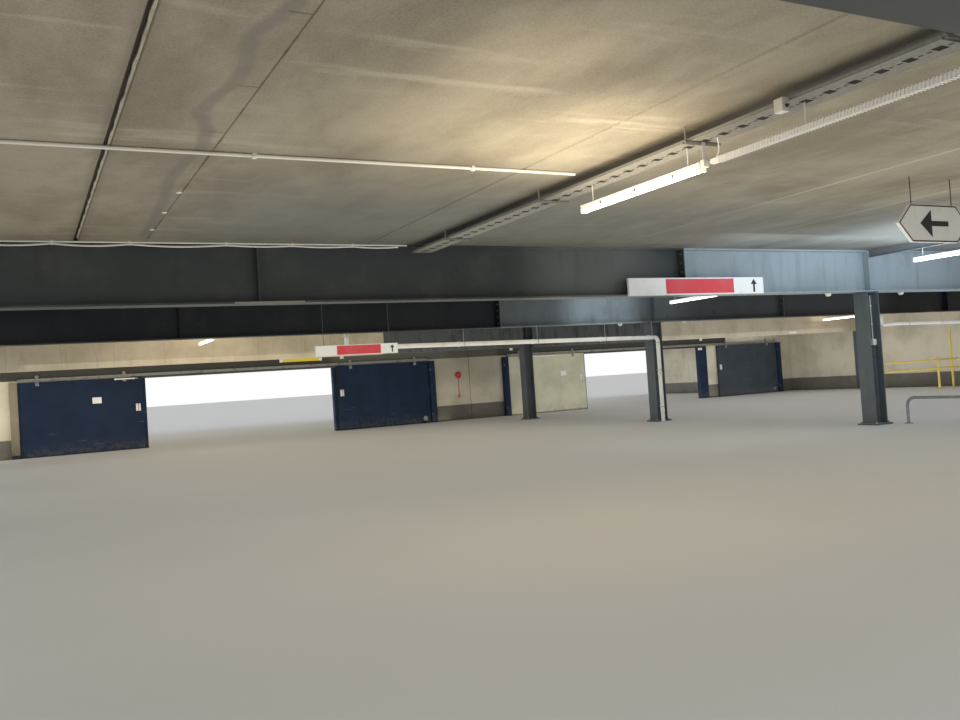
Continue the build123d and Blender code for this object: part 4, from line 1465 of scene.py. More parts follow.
@dataclass
class FireDoor:
    """One sliding leaf with its handle, plate, disc, hanger brackets and edge strips."""

    number: int
    left: float
    closes: int
    bolts: BoltTree
    width: float = 3.35
    handle_height: float = 1.25
    plate: Flat | None = None
    strip: Flat | None = None

    @property
    def body(self) -> Body:
        """The leaf's body."""
        return Body(f"leaf_{self.number}")

    @property
    def leading(self) -> float:
        """X of the edge that closes first."""
        return self.left + self.width if self.closes > 0 else self.left

    @property
    def trailing(self) -> float:
        """X of the other edge."""
        return self.left if self.closes > 0 else self.left + self.width

    @property
    def paint(self) -> Finish:
        """The leaf's paint."""
        return {3: CREAM, 4: GREY_BLUE}.get(self.number, BLUE)

    def add(self, shape: Shape, part: str, finish: Finish, slot: Slot = Slot.GEAR) -> None:
        """Finish a shape as a piece that rides on the leaf."""
        shape.piece(f"leaf_{self.number}_{part}", finish, slot, self.body)

    def handle(self) -> None:
        """Round bow handle over a flat backing plate."""
        x = self.leading - self.closes * 0.15
        z = self.handle_height
        shape = Shape()
        reach, reach_z, bend = LEAF_FRONT - 0.055, 0.085, 0.02
        path = [(x, LEAF_FRONT, z - reach_z)]
        for step in range(7):
            angle = math.radians(15 * step)
            out, rise = bend * (1 - math.sin(angle)), bend * (1 - math.cos(angle))
            path.append((x, reach + out, z - reach_z + rise))
        path += [(x, reach, z), *[(px, py, 2 * z - pz) for px, py, pz in reversed(path)]]
        shape.tube(path, 0.0102, 14)
        self.add(shape, "handle", GEAR)
        shape = Shape()
        shape.box((x - 0.065, LEAF_FRONT - 0.003, z - 0.11), (x + 0.065, LEAF_FRONT, z + 0.11), 0.001)
        for dz in (-reach_z, reach_z):
            shape.lathe([(0.02, 0.0), (0.02, 0.009), (0.016, 0.012)], (x, LEAF_FRONT, z + dz), FRONT, 20)
        self.add(shape, "handle_plate", PLATE)

    def edge_strips(self) -> None:
        """Folded edge strips along both upright edges, and the brush at the leading edge."""
        shape = Shape()
        for edge, way in ((self.leading, -self.closes), (self.trailing, self.closes)):
            low, high = sorted((edge, edge + way * 0.045))
            shape.box((low, LEAF_FRONT - 0.003, 0.012), (high, LEAF_FRONT, LEAF_TOP - 0.002), 0.001)
        self.add(shape, "edge_strips", self.paint, Slot.DOOR)
        shape = Shape()
        low, high = sorted((self.leading - self.closes * 0.002, self.leading + self.closes * 0.0015))
        shape.box((low, LEAF_FRONT + 0.015, 0.02), (high, LEAF_FRONT + 0.065, LEAF_TOP - 0.01), 0.0005)
        self.add(shape, "edge_seal", SEALANT, Slot.DOOR)

    def brackets(self) -> None:
        """Plates that tie the hanger straps to the leaf, with two bolts each."""
        shape = Shape()
        spots = []
        for x in (self.left + 0.5, self.left + self.width - 0.5):
            shape.box((x - 0.05, LEAF_FRONT - 0.006, 2.05), (x + 0.05, LEAF_FRONT, 2.155), 0.0015)
            shape.box((x - 0.05, LEAF_FRONT - 0.006, 2.15), (x + 0.05, 8.5, 2.162), 0.0015)
            for dx in (-0.028, 0.028):
                spots.append(((x + dx, LEAF_FRONT - 0.006, 2.095), FRONT))
            spots.append(((x, 8.492, 2.215), FRONT))
        self.add(shape, "brackets", GEAR)
        self.bolts.place(f"leaf_{self.number}_bolts", spots, 0.0105, BOLTS, Slot.GEAR, self.body)

    def disc_cover(self) -> None:
        """Turned metal cover over the stop disc."""
        if self.closes > 0:
            return
        shape = Shape()
        x = self.trailing - 0.22
        profile = [(0.082, 0.0), (0.082, 0.024), (0.077, 0.028), (0.03, 0.029), (0.026, 0.026), (0.01, 0.026)]
        shape.lathe(profile, (x, LEAF_FRONT, 0.17), FRONT, 40)
        self.add(shape, "disc_cover", GEAR)

    def label(self) -> None:
        """A blank riveted plate on the leaf."""
        if self.plate is None:
            return
        x, z = self.plate
        shape = Shape()
        shape.box((x - 0.125, LEAF_FRONT - 0.0025, z - 0.09), (x + 0.125, LEAF_FRONT, z + 0.09), 0.001)
        rivet = [(0.005, 0.0), (0.004, 0.0015), (0.002, 0.0022)]
        for dx, dz in product((-0.11, 0.11), (-0.075, 0.075)):
            shape.lathe(rivet, (x + dx, LEAF_FRONT - 0.0025, z + dz), FRONT, 10)
        self.add(shape, "label_plate", PLATE)

    def damper(self) -> None:
        """A pale damper tube in brackets on the top of the leaf's face."""
        if self.strip is None:
            return
        low, high = self.strip
        shape = Shape()
        y, z = LEAF_FRONT - 0.024, LEAF_TOP - 0.035
        shape.rod((low, y, z), (high, y, z), 0.02, 20)
        shape.rod((high, y, z), (high + 0.09, y, z), 0.007, 12)
        for x in (low + 0.02, high - 0.04):
            shape.box((x, LEAF_FRONT - 0.03, z - 0.03), (x + 0.02, LEAF_FRONT, z + 0.028), 0.002)
        self.add(shape, "damper", PLATE)

    def build(self) -> None:
        """Dress the leaf and add its pieces."""
        dress(self.paint, f"fire_door_leaf_{self.number}")
        dress(GEAR, f"fire_door_hangers_{self.number}")
        self.handle()
        self.edge_strips()
        self.brackets()
        self.disc_cover()
        self.label()
        self.damper()


@dataclass
class DoorGear:
    """Rails and weight boxes on the wall."""

    bolts: BoltTree
    rails: Flats = ((-14.765, -1.94), (1.3, 14.75))
    boxes: Flats = ((-14.995, -14.785), (-1.92, -1.71), (1.07, 1.28), (14.77, 14.98))

    def rail_bolts(self) -> None:
        """Bolts through the rail at its brackets."""
        inset, count = 0.025, 8
        spots = []
        for (start, end), number in product(self.rails, range(count)):
            step = (end - start - 2 * inset) / (count - 1)
            spots.append(((start + inset + number * step, 8.514, 2.205), FRONT))
        self.bolts.place("rail_bolts", spots, 0.009, BOLTS, Slot.GEAR)

    def end_stops(self) -> None:
        """Rubber buffers on the ends of the rails."""
        shape = Shape()
        buffer = [(0.014, 0.0), (0.016, 0.01), (0.012, 0.03), (0.006, 0.034)]
        for start, end in self.rails:
            for x, way in ((start + 0.02, 1), (end - 0.02, -1)):
                shape.box((x - 0.012, 8.505, 2.265), (x + 0.012, 8.535, 2.305), 0.002)
                shape.lathe(buffer, (x, 8.52, 2.288), (way, 0, 0))
        shape.piece("rail_end_stops", SEALANT, Slot.GEAR)

    def box_doors(self) -> None:
        """A framed lid with two hinges and a lock on each weight box."""
        browns, blues, fittings = Shape(), Shape(), Shape()
        face, top = BOX_FRONT, LEAF_TOP
        low, high = self.boxes[0]
        browns.box((low - 0.002, face - 0.0025, 0.11), (high + 0.002, WALL_FRONT, top - 0.002), 0.001)
        for number, (low, high) in enumerate(self.boxes):
            lids = blues if number else browns
            lids.box((low + 0.02, face - 0.004, 0.12), (high - 0.02, face, top - 0.06), 0.0012)
            lids.box((low + 0.045, face - 0.006, 0.16), (high - 0.045, face - 0.003, top - 0.1), 0.0012)
            lids.box((low - 0.004, face - 0.004, top - 0.004), (high + 0.004, WALL_FRONT, top + 0.004), 0.002)
            x, y = low + 0.016, face - 0.006
            for z in (0.3, 1.86):
                fittings.rod((x, y, z - 0.045), (x, y, z + 0.045), 0.007, 12)
            lock = [(0.012, 0.0), (0.012, 0.004), (0.008, 0.007)]
            fittings.lathe(lock, (high - 0.035, face - 0.004, 1.1), FRONT, 16)
        browns.piece("first_box_cover", BROWN, Slot.DOOR)
        blues.piece("weight_box_lids", POST_BLUE, Slot.DOOR)
        fittings.piece("weight_box_fittings", GEAR, Slot.GEAR)

    def build(self) -> None:
        """Dress rails and boxes and add their pieces."""
        dress(GEAR, "fire_door_rails")
        dress(POST_BLUE, "fire_door_weight_boxes")
        self.rail_bolts()
        self.end_stops()
        self.box_doors()


@dataclass
class Tray:
    """Perforated cable tray with its side rims, hangers and junction box."""

    sheets: SheetTree
    x: float = -9.5
    start: float = -17.95
    length: float = 9.5
    bottom: float = 3.26
    width: float = 0.3
    side: float = 0.024
    sheet: float = 0.0015
    hangers: int = 4

    def perforated(self) -> None:
        """The tray itself: a perforated floor and two low sides with rolled rims."""
        rows = 44
        start = points_mesh("tray_start", [(0, 0, 0)])
        middle = Vector((self.x, self.start + self.length / 2, self.bottom))
        floor = self.sheets.run(
            start, TRAY, Rows=rows, Columns=1, Pitch=self.length / rows, Lane=self.width,
            Opening_Width=0.085, Opening_Length=0.075,
        )
        floor.transform(Matrix.Translation(middle))
        shape = Shape(floor)
        near, far = self.start, self.start + self.length
        bottom, top = self.bottom, self.bottom + self.side
        for sign in (-1, 1):
            outer = self.x + sign * self.width / 2
            low, high = sorted((outer, outer - sign * self.sheet))
            shape.box((low, near, bottom), (high, far, top))
            edge = outer - sign * 0.004
            shape.rod((edge, near, top - 0.003), (edge, far, top - 0.003), 0.003, 8)
        left, right = self.x - 0.195, self.x + 0.195
        channel = ((-0.0205, -0.0175, 0.021), (0.0175, 0.0205, 0.021), (-0.0205, 0.0205, 0.003))
        for number in range(self.hangers):
            y = near + self.length * (number + 0.5) / self.hangers
            for low, high, deep in channel:
                shape.box((left, y + low, bottom - deep), (right, y + high, bottom))
            for foot in (self.x - 0.175, self.x + 0.175):
                shape.rod((foot, y, bottom - 0.021), (foot, y, SOFFIT), 0.006, 12)
                for z in (bottom - 0.011, bottom + 0.001):
                    shape.lathe([(0.011, 0.0), (0.011, 0.009)], (foot, y, z), UP, 6)
        tray = shape.piece("perforated_tray", TRAY, Slot.ZINC, smooth=False)
        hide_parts("cable_tray")

    def box(self) -> None:
        """The junction box on the tray's left side, with its lid, screws and glands."""
        low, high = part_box("junction_box")
        low, high = low + Vector((0.017, 0.016, 0.03)), high - Vector((0, 0.016, 0.006))
        shape = Shape()
        shape.box(tuple(low), tuple(high), 0.004)
        lid, rim = low.x - 0.005, 0.003
        shape.box((lid, low.y + rim, low.z + rim), (low.x + 0.001, high.y - rim, high.z - rim), 0.002)
        middle = (low + high) / 2
        for dy, dz in product((-0.036, 0.036), (-0.044, 0.044)):
            shape.lathe([(0.005, 0.0), (0.004, 0.002)], (lid, middle.y + dy, middle.z + dz), (-1, 0, 0), 12)
        made = shape.piece("junction_box_body", FITTINGS, Slot.FITTING)
        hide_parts("junction_box")
        glands = Shape()
        for side, way in ((low.y, -1), (high.y, 1)):
            profile = [(0.014, -0.001), (0.014, 0.012), (0.009, 0.018), (0.005, 0.026)]
            glands.lathe(profile, (middle.x, side, low.z + 0.04), (0, way, 0), 6)
        glands.piece("junction_box_glands", PRINT, Slot.FITTING)

    def shade_sheet(self) -> None:
        """A dark ridged sheet on the tray's floor that stands in for the shade and the cables inside the
        tray, so its openings read dark.
        """
        shape = Shape()
        count, width = 24, 0.28
        low, step = self.x - width / 2, width / count
        top, valley, ridge = self.bottom + 0.006, self.bottom + 0.0022, self.bottom + 0.0042
        outline = [(low, top)]
        for number in range(count):
            outline += [(low + number * step + 0.001, valley), (low + (number + 0.5) * step, ridge)]
        outline += [(low + width, valley), (low + width, top)]
        shape.prism([(x, self.start + 0.02, z) for x, z in outline], (0, self.length - 0.04, 0))
        shape.piece("tray_shade_sheet", SEALANT, Slot.ZINC, smooth=False)

    def build(self) -> None:
        """Make the tray and dress its box."""
        self.perforated()
        # dark sheet that stands in for shade and cables in the tray
        self.shade_sheet()
        self.box()


@dataclass
class Lamps:
    """Batten lamps: end caps, clips, hanger collars, and the trunking beside the first lamp."""

    places: tuple[Point, ...] = (
        (-9.5, -13.48, 3.01), (9.5, -13.48, 3.01), (0.2, -10.12, 3.03), (0.2, -3.1, 3.0), (-10.4, 3.38, 2.8),
        (13.3, 3.6, 2.8), (0.2, 10.0, 3.0), (-9.5, 14.8, 3.01), (9.5, 14.8, 3.01),
    )
    ribs: RibTree | None = None
    half: float = 0.9
    trunk: Flat = (-17.9, -14.55)

    def caps(self) -> None:
        """End caps of every lamp."""
        shape = Shape()
        for x, y, under in self.places:
            for side in (-1, 1):
                low, high = sorted((y + side * (self.half - 0.028), y + side * (self.half + 0.004)))
                shape.box((x - 0.038, low, under - 0.001), (x + 0.038, high, under + 0.083), 0.006)
        shape.piece("lamp_end_caps", HOUSING, Slot.LAMP)

    def clips(self) -> None:
        """Steel clips that hold the covers, three on each side, and collars on the hanging rods."""
        shape = Shape()
        collar = [(0.014, 0.0), (0.014, 0.005), (0.008, 0.012)]
        for x, y, under in self.places:
            foot, top = under + 0.022, under + 0.058
            for dy, side in product((-0.55, 0.0, 0.55), (-1, 1)):
                low, high = sorted((x + side * 0.0345, x + side * 0.038))
                shape.box((low, y + dy - 0.012, foot), (high, y + dy + 0.012, top), 0.001)
            for dy in (-0.72, 0.72):
                shape.lathe(collar, (x, y + dy, under + 0.08), UP, 16)
        shape.piece("lamp_clips", GEAR, Slot.LAMP)

    def feed(self) -> None:
        """The bracket and cable at the near end of the first lamp."""
        shape = Shape()
        x, y, under = self.places[0]
        end = y - self.half
        shape.box((x - 0.03, end - 0.05, under + 0.03), (x + 0.03, end - 0.005, under + 0.095), 0.006)
        shape.box((x - 0.02, end - 0.03, under + 0.09), (x + 0.02, end - 0.026, 3.26), 0.001)
        points = []
        for step in range(13):
            share = step / 12
            side, rise = 0.05 * math.sin(math.pi * share), 0.18 * share ** 1.6
            points.append((x + 0.02 + side, end - 0.06 - 0.12 * share, under + 0.07 + rise))
        shape.tube(points, 0.006, 10)
        shape.piece("lamp_feed", HOUSING, Slot.LAMP)

    def trunk_ribs(self) -> None:
        """Cross ribs along the trunking beside the first lamp."""
        low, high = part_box("lamp_trunking")
        start, end = self.trunk
        pitch = 0.03
        mesh = self.ribs.run(
            points_mesh("rib_start", [(0, 0, 0)]), TRUNKING, Count=int((end - start) / pitch), Pitch=pitch,
            Width=high.x - low.x + 0.008, Height=0.054,
        )
        mesh.transform(Matrix.Translation(((low.x + high.x) / 2, start, self.places[0][2] + 0.055)))
        Shape(mesh).piece("trunking_ribs", TRUNKING, Slot.LAMP, smooth=False)

    def build(self) -> None:
        """Dress the lamps and add their pieces."""
        dress(HOUSING, "lamp_housings")
        dress(TRUNKING, "lamp_trunking")
        dress(GLOW, "lamp_tubes")
        self.caps()
        self.clips()
        self.feed()
        self.trunk_ribs()


@dataclass
class Services:
    """Conduits, drain pipes and detectors with their clips, sockets and clamps."""

    saddles: SaddleTree
    pipe_y: float = -1.933
    riser_y: float = -1.442
    drains: Flats = ((-8.3, -0.09), (9.1, 15.667))
    conduit_y: float = -12.77
    column_conduit_x: float = 0.085
    joints: Row = (-14.96, -12.91, -10.86)
    clips: Row = (-15.2, -14.31, -13.44, -12.26, -11.38, -10.53)

    def conduit_clips(self) -> None:
        """Saddles on the two conduits under the deck."""
        z = SOFFIT - 0.012
        girder_y = LINES[1] - FLANGE_HALF - 0.0003 - 0.012
        places = [(x, self.conduit_y, z) for x in self.joints] + [(x, girder_y, z) for x in self.clips]
        start = points_mesh("saddle_places", places)
        mesh = self.saddles.run(start, CONDUIT, Wall=0.006, Length=0.032, Foot=0.028)
        Shape(mesh).piece("conduit_saddles", CONDUIT, Slot.FITTING, smooth=False)

    def loose_cable(self) -> None:
        """A thin cable that waves along the girder's conduit from clip to clip."""
        shape = Shape()
        held = [-15.6, *self.clips, -9.85]
        y, hold = LINES[1] - FLANGE_HALF - 0.0125, SOFFIT - 0.036
        points = []
        for first, second in zip(held, held[1:]):
            for step in range(8):
                share = step / 8
                sag = 0.018 * math.sin(math.pi * share) * (1.4 if first < -13 else 0.8)
                points.append((first + (second - first) * share, y, hold - sag))
        points.append((held[-1], y, hold))
        shape.tube(points, 0.012, 12)
        for x in self.clips:
            shape.box((x - 0.012, y - 0.015, hold - 0.015), (x + 0.012, y + 0.012, SOFFIT - 0.02), 0.003)
        shape.piece("girder_cable", CONDUIT, Slot.FITTING)

    def conduit_sleeve(self) -> None:
        """Joined sleeves round the conduit across the first bay."""
        low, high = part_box("ceiling_conduits")
        shape = Shape()
        radius = 0.016
        y, z = self.conduit_y, SOFFIT - radius
        shape.rod((low.x, y, z), (high.x, y, z), radius, 20)
        sleeve = [(0.02, 0.0), (0.0235, 0.004), (0.0235, 0.036), (0.02, 0.04)]
        for x in self.joints:
            shape.lathe(sleeve, (x - 0.02, y, z - 0.004), (1, 0, 0))
        shape.piece("conduit_sleeve", CONDUIT, Slot.FITTING)

    def pipe_sockets(self) -> None:
        """Sockets along the drain pipes, and clamps round them with hanger rods and brackets."""
        sockets, clamps = Shape(), Shape()
        ring = [(0.0505, 0.0), (0.057, 0.004), (0.057, 0.06), (0.0505, 0.064)]
        clamp = [(0.051, 0.0), (0.0545, 0.001), (0.0545, 0.024), (0.051, 0.025)]
        y, high_end, low_end = self.pipe_y, 2.245, 2.17
        for riser_x, foot_x in self.drains:
            run, drop = foot_x - riser_x, high_end - low_end
            for share in (0.06, 0.3, 0.54, 0.78, 0.96):
                x = riser_x + run * share
                z = high_end - drop * share
                sockets.lathe(ring, (x, y, z), (run, 0, -drop), 32)
                clamps.lathe(clamp, (x + 0.16, y, z - 0.0013), (run, 0, -drop), 32)
                clamps.rod((x + 0.17, y, z + 0.05), (x + 0.17, y, HEADROOM), 0.005, 10)
            for z in (0.25, 1.2, 1.9):
                sockets.lathe(ring, (foot_x, y, z), UP, 32)
                z += 0.12
                clamps.lathe(clamp, (foot_x, y, z), UP, 32)
                clamps.box((foot_x - 0.012, y + 0.045, z), (foot_x + 0.012, y + 0.14, z + 0.025), 0.002)
            for z in (2.5, 3.2):
                sockets.lathe(ring, (riser_x, self.riser_y, z), UP, 32)
        sockets.piece("pipe_sockets", PIPES, Slot.FITTING)
        clamps.piece("pipe_clamps", ZINC, Slot.ZINC)

    def column_conduit(self) -> None:
        """The conduit and its small box in the front recess of the first middle column."""
        shape = Shape()
        x, y = self.column_conduit_x, LINES[1] - 0.02
        shape.rod((x, y, 1.64), (x, y, 2.52), 0.008, 12)
        for z in (1.95, 2.3):
            shape.box((x - 0.018, y - 0.011, z), (x + 0.018, y + 0.012, z + 0.016), 0.002)
        shape.box((x - 0.045, y - 0.045, 1.54), (x + 0.045, y + 0.013, 1.66), 0.005)
        shape.box((x - 0.04, y - 0.049, 1.545), (x + 0.04, y - 0.044, 1.655), 0.002)
        shape.piece("column_conduit", CONDUIT, Slot.FITTING)

    def detector_rings(self) -> None:
        """A vented ring and a lower cap under each detector."""
        shape = Shape()
        ring = [(0.064, 0.0), (0.066, 0.004), (0.066, 0.012), (0.06, 0.014)]
        for line, x in product((LINES[1], LINES[2], LINES[4]), (-1.03, 1.03)):
            shape.lathe(ring, (x, line, HEADROOM), DOWN, 32)
            shape.lathe([(0.03, 0.0), (0.03, 0.008), (0.02, 0.012)], (x, line, HEADROOM - 0.053), DOWN)
        shape.piece("detector_rings", FITTINGS, Slot.FITTING)

    def build(self) -> None:
        """Dress the services and add their pieces."""
        dress(CONDUIT, "ceiling_conduits")
        dress(PIPES, "drain_pipe", "drain_pipe_right")
        dress(FITTINGS, "detectors")
        self.conduit_clips()
        self.loose_cable()
        self.conduit_sleeve()
        self.pipe_sockets()
        self.column_conduit()
        self.detector_rings()


@dataclass
class Signs:
    """Plain colour fields, arrows and rims on the boards."""

    thick: float = 0.002
    girder_board: Board = (-5.845, -2.875, 2.58, 2.87)
    girder_y: float = -8.44
    hung_board: Board = (-9.19, -7.34, 2.09, 2.31)
    hung_y: float = -2.043
    tip_x: float = -5.8
    arrow_y: Flat = (-13.44, -13.4)

    def field(self, shape: Shape, board: Board, y: float, share: Flat, inset: float) -> None:
        """Add a plain field over a share of a board.

        Args:
            shape: the shape to add to.
            board: left, right, bottom and top of the board.
            y: the board's face.
            share: its start and end, as parts of the board's width.
            inset: the margin above and below.
        """
        left, right, bottom, top = board
        low, high = (left + (right - left) * part for part in share)
        foot, head = bottom + inset, top - inset
        shape.sheet([(low, foot), (high, foot), (high, head), (low, head)], y, self.thick)

    def arrow(
        self, shape: Shape, place: Point, size: float, turn: float, facing: int = -1, stem: float = 0.06
    ) -> None:
        """Add a plain arrow.

        Args:
            shape: the shape to add to.
            place: its middle, on the board's face.
            size: its length.
            turn: from pointing up towards the left, in radians.
            facing: the side it is on.
            stem: half its stem's width, as a share of its length.
        """
        head = [(0.32, 0.1), (0, 0.5), (-0.32, 0.1)]
        outline = [(-stem, -0.5), (stem, -0.5), (stem, 0.1), *head, (-stem, 0.1)]
        across, up = math.cos(turn) * size, math.sin(turn) * size
        x, y, z = place
        corners = [(x + u * across - v * up, z + u * up + v * across) for u, v in outline]
        shape.sheet(corners, y, self.thick, facing)

    def boards(self) -> None:
        """Red fields and small arrows of the two long boards."""
        red = Shape()
        self.field(red, self.girder_board, self.girder_y, (0.26, 0.765), 0.022)
        self.field(red, self.hung_board, self.hung_y, (0.25, 0.785), 0.015)
        red.piece("sign_red_fields", RED, Slot.SIGN, smooth=False)
        dark = Shape()
        self.arrow(dark, (-3.1, self.girder_y, 2.725), 0.23, 0.0, stem=0.09)
        self.arrow(dark, (-7.47, self.hung_y, 2.2), 0.16, 0.0, stem=0.09)
        dark.piece("sign_arrows", PRINT, Slot.SIGN, smooth=False)

    def rims(self) -> None:
        """Folded rims round the boards."""
        shape = Shape()
        for board, y in ((self.girder_board, self.girder_y), (self.hung_board, self.hung_y)):
            left, right, bottom, top = board
            for low, high in frame_bars((left, bottom), (right, top), 0.008):
                shape.box((low[0], y - 0.003, low[1]), (high[0], y + 0.001, high[1]), 0.0008)
        shape.piece("sign_rims", PLATE, Slot.SIGN)

    def pointed_board(self) -> None:
        """Dark outline and a plain arrow on both faces of the pointed board."""
        shape = Shape()
        z, length, half_height = 2.84, 1.25, 0.22
        rings = []
        for inset in (0.006, 0.02):
            half, back = half_height - inset, inset * math.sqrt(2)
            near, far = self.tip_x + back, self.tip_x + length - back
            rings.append([
                (near, z), (near + half, z - half), (far - half, z - half),
                (far, z), (far - half, z + half), (near + half, z + half),
            ])
        outer, inner = rings
        for y, facing in zip(self.arrow_y, (-1, 1)):
            for index in range(6):
                after = (index + 1) % 6
                shape.sheet([outer[index], outer[after], inner[after], inner[index]], y, self.thick, facing)
            self.arrow(shape, (self.tip_x + length / 2, y, z), 0.5, math.pi / 2, facing)
        shape.piece("pointed_board_print", PRINT, Slot.SIGN, smooth=False)

    def bar_ends(self) -> None:
        """White end plates on the yellow bar over the doorway, with two screws each."""
        shape = Shape()
        half, face = 0.05, 8.527
        for x in (-7.12, -5.8):
            shape.box((x - half, face, 2.378), (x + half, face + 0.004, 2.522), 0.001)
            for z in (2.41, 2.49):
                shape.lathe([(0.007, 0.0), (0.005, 0.003)], (x, face, z), FRONT, 12)
        shape.piece("bar_end_plates", PLATE, Slot.SIGN)

    def build(self) -> None:
        """Dress the boards and add their print."""
        dress(BOARDS, "sign_boards", "arrow_sign")
        self.boards()
        self.rims()
        self.pointed_board()
        self.bar_ends()


@dataclass
class FloorGuards:
    """The hoop and the post barrier with their foot plates, bolts, clamps and caps."""

    bolts: BoltTree
    hoop: Row = (0.3, -8.76, -10.26)
    posts: Flats = ((14.825, 2.13), (14.055, 1.12))
    rails: Flat = (0.72, 1.02)
    barrier_y: float = 0.3

    def build(self) -> None:
        """Dress the guards and add their pieces."""
        dress(HOOP, "hoop_guard")
        dress(YELLOW, "post_barrier")
        spots = []
        plates, feet = Shape(), Shape()
        x = self.hoop[0]
        for y in self.hoop[1:]:
            plates.lathe([(0.075, 0.0), (0.075, 0.007), (0.073, 0.008)], (x, y, 0.0), UP, 32)
            plates.lathe([(0.0275, 0.007), (0.034, 0.008), (0.0275, 0.018)], (x, y, 0.0), UP, 24)
            for number in range(4):
                angle = math.pi / 4 + number * math.pi / 2
                spots.append(((x + 0.056 * math.cos(angle), y + 0.056 * math.sin(angle), 0.008), UP))
        plates.piece("hoop_feet", HOOP, Slot.ZINC)
        y = self.barrier_y
        for x, top in self.posts:
            feet.box((x - 0.09, y - 0.09, 0.0), (x + 0.09, y + 0.09, 0.01), 0.002)
            cap = [(0.0385, 0.0), (0.041, 0.002), (0.041, 0.01), (0.03, 0.018), (0.01, 0.022)]
            feet.lathe(cap, (x, y, top - 0.006), UP, 28)
            for z in self.rails:
                feet.rod((x, y, z - 0.035), (x, y, z + 0.035), 0.042, 28)
                feet.rod((x - 0.045, y, z), (x + 0.045, y, z), 0.0335, 24)
            for dx, dy in product((-0.066, 0.066), repeat=2):
                spots.append(((x + dx, y + dy, 0.01), UP))
        plug = [(0.031, -0.02), (0.032, 0.0), (0.024, 0.004), (0.008, 0.006)]
        for (x, way), z in product(((15.175, 1), (11.375, -1)), self.rails):
            feet.lathe(plug, (x, y, z), (way, 0, 0))
        feet.piece("barrier_fittings", YELLOW, Slot.YELLOW)
        self.bolts.place("floor_guard_bolts", spots, 0.0105, BOLTS, Slot.ZINC)


WARM = (1.0, 0.84, 0.6)
COOL = (0.74, 0.88, 1.0)
TO_DECK = (math.pi, 0, 0)
TO_BACK = (math.pi / 2, 0, 0)


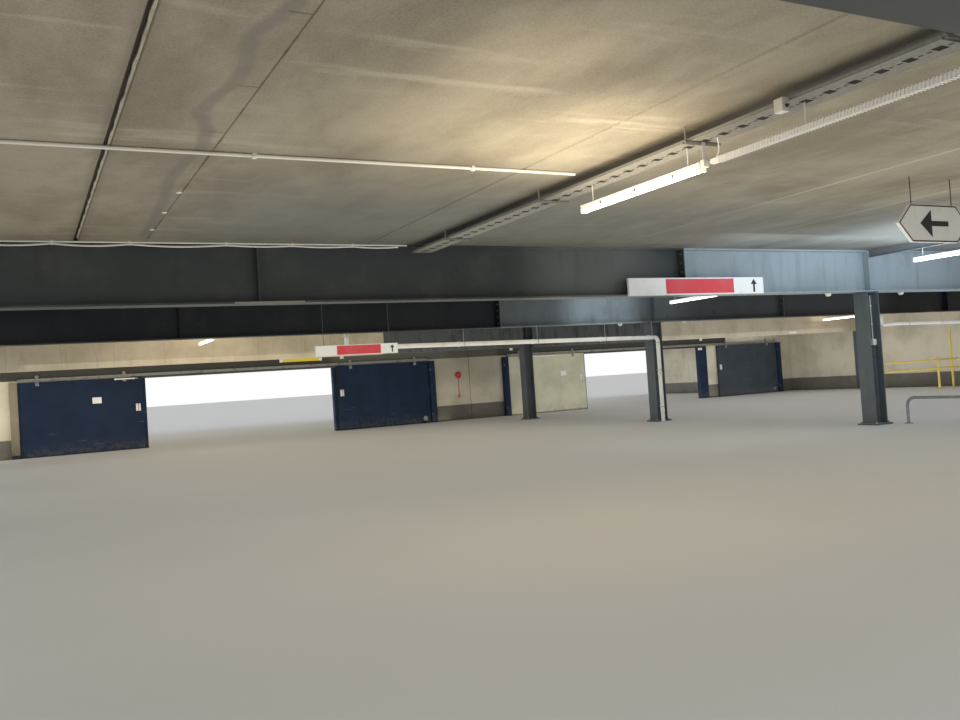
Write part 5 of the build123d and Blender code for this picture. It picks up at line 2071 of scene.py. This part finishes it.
@dataclass
class Studio:
    """Floor, lights, background and camera round the block."""

    camera_place: Point = (-14.74841, -20.13705, 1.36835)
    pitch: float = -0.02273
    turn: float = 0.47966
    roll: float = -0.06677
    focal: float = 889.5736
    image_width: float = 960.0
    up_level: float = 2.2
    down_level: float = 1.3
    world_level: float = 0.85

    def camera(self) -> None:
        """The camera of the photograph's view."""
        yaw = Matrix.Rotation(self.turn, 3, "Z")
        swap = Matrix(((1, 0, 0), (0, 0, -1), (0, 1, 0)))
        tilt = Matrix.Rotation(self.pitch, 3, "X")
        lean = Matrix.Rotation(self.roll, 3, "Z")
        rows = lean @ tilt @ swap @ yaw
        turned = Matrix((rows[0], -rows[1], -rows[2])).transposed().to_4x4()
        data = bpy.data.cameras.new("view")
        data.sensor_width = 36.0
        data.sensor_fit = "HORIZONTAL"
        data.lens = 36.0 * self.focal / self.image_width
        data.clip_end = 400.0
        made = bpy.data.objects.new("view", data)
        made.matrix_world = Matrix.Translation(self.camera_place) @ turned
        bpy.context.scene.collection.objects.link(made)
        bpy.context.scene.camera = made

    def area(self, name: str, place: Point, size: Flat, level: float, turn: Point, colour: Colour) -> None:
        """A soft rectangular light that the camera doesn't see.

        Args:
            name: its name.
            place: its middle.
            size: its sides along X and Y.
            level: light from each square metre.
            turn: from shining straight down.
            colour: its colour.
        """
        data = bpy.data.lights.new(name, "AREA")
        data.shape = "RECTANGLE"
        data.size, data.size_y = size
        data.energy = level * size[0] * size[1]
        data.color = colour
        made = bpy.data.objects.new(name, data)
        made.location = place
        made.rotation_euler = turn
        made.visible_camera = False
        made.visible_glossy = False
        bpy.context.scene.collection.objects.link(made)

    def lights(self) -> None:
        """Soft lights up and down in both spans, and soft light round the lamps."""
        for side, tint in ((-1, (1.0, 0.94, 0.82)), (1, (0.97, 0.98, 1.0))):
            size = (13.5, 35.0)
            self.area(f"up_{side}", (side * 7.9, 0.0, 0.04), size, self.up_level, TO_DECK, tint)
            self.area(f"down_{side}", (side * 7.9, 0.0, 2.5), size, self.down_level, (0, 0, 0), tint)
        for x, y, z in Lamps().places:
            colour = WARM if x < -5 or x > 12 else COOL
            self.area(f"glow_{x:.0f}_{y:.0f}", (x, y, z - 0.04), (0.5, 1.9), 13.0, TO_DECK, colour)
        self.area("warm_spill", (-10.5, -13.9, 2.9), (1.1, 1.9), 12.5, TO_DECK, WARM)
        self.area("cool_spill", (-1.1, -10.6, 2.8), (2.6, 1.9), 14.0, TO_DECK, COOL)
        self.area("girder_wash", (-1.1, -9.9, 2.95), (7.4, 0.3), 20.0, TO_BACK, COOL)
        self.area("inner_wash", (-1.9, -3.1, 2.95), (2.6, 0.3), 12.0, TO_BACK, COOL)
        self.area("soffit_spill", (-11.7, -14.6, 2.9), (0.8, 2.6), 3.8, TO_DECK, WARM)
        self.area("casing_wash", (-10.4, 3.3, 2.75), (4.0, 0.3), 8.0, TO_BACK, WARM)
        self.area("wall_wash", (-13.2, 6.6, 1.6), (4.6, 1.0), 3.5, TO_BACK, WARM)
        self.area("wall_end_wash", (-15.5, 7.4, 1.6), (0.9, 1.2), 8.0, TO_BACK, (1.0, 0.93, 0.8))

    def floor(self) -> None:
        """A pale, faintly mottled studio floor."""
        shape = Shape()
        reach = 260.0
        shape.box((-reach, -reach, -0.05), (reach, reach, -0.001))
        shape.thing("studio_floor", StudioFloor("studio_floor", (0.6, 0.6, 0.59)))

    def world(self) -> None:
        """A white background for the camera and a soft even light for the surfaces."""
        world = bpy.data.worlds.new("studio")
        bpy.context.scene.world = world
        world.use_nodes = True
        sky = NodeTree()
        sky.tree = world.node_tree
        sky.tree.nodes.clear()
        soft = sky.out("ShaderNodeBackground", Color=(0.97, 0.985, 1.0), Strength=self.world_level)
        white = sky.out("ShaderNodeBackground", Color=(1.0, 1.0, 1.0), Strength=1.0)
        path = sky.node("ShaderNodeLightPath")
        share = path.outputs["Is Camera Ray"]
        for label in ("Is Glossy Ray", "Is Transmission Ray"):
            share = sky.math("ADD", share, path.outputs[label])
            share.node.use_clamp = True
        mix = sky.node("ShaderNodeMixShader")
        for target, source in zip(mix.inputs, (share, soft, white)):
            sky.put(target, source)
        sky.node("ShaderNodeOutputWorld", Surface=mix.outputs[0])

    def build(self) -> None:
        """Set up the studio."""
        self.camera()
        self.floor()
        self.lights()
        self.world()
        bpy.context.scene.view_settings.view_transform = "Standard"


def main() -> None:
    """Build every sub-assembly in order."""
    logging.basicConfig(level=logging.INFO, format="%(message)s")
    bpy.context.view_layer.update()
    bolts = BoltTree()
    SteelFrame(bolts).build()
    Deck(bolts).build()
    FireWall().build()
    FireDoor(1, -14.765, 1, bolts, plate=(-12.7, 1.53), strip=(-12.2, -11.62)).build()
    FireDoor(2, -5.29, -1, bolts).build()
    FireDoor(3, 1.3, 1, bolts, plate=(3.68, 1.43), strip=(2.1, 3.3)).build()
    FireDoor(4, 11.4, -1, bolts).build()
    DoorGear(bolts).build()
    Tray(SheetTree()).build()
    Lamps(ribs=RibTree()).build()
    Services(SaddleTree()).build()
    Signs().build()
    FloorGuards(bolts).build()
    Studio().build()


if __name__ == "__main__":
    main()
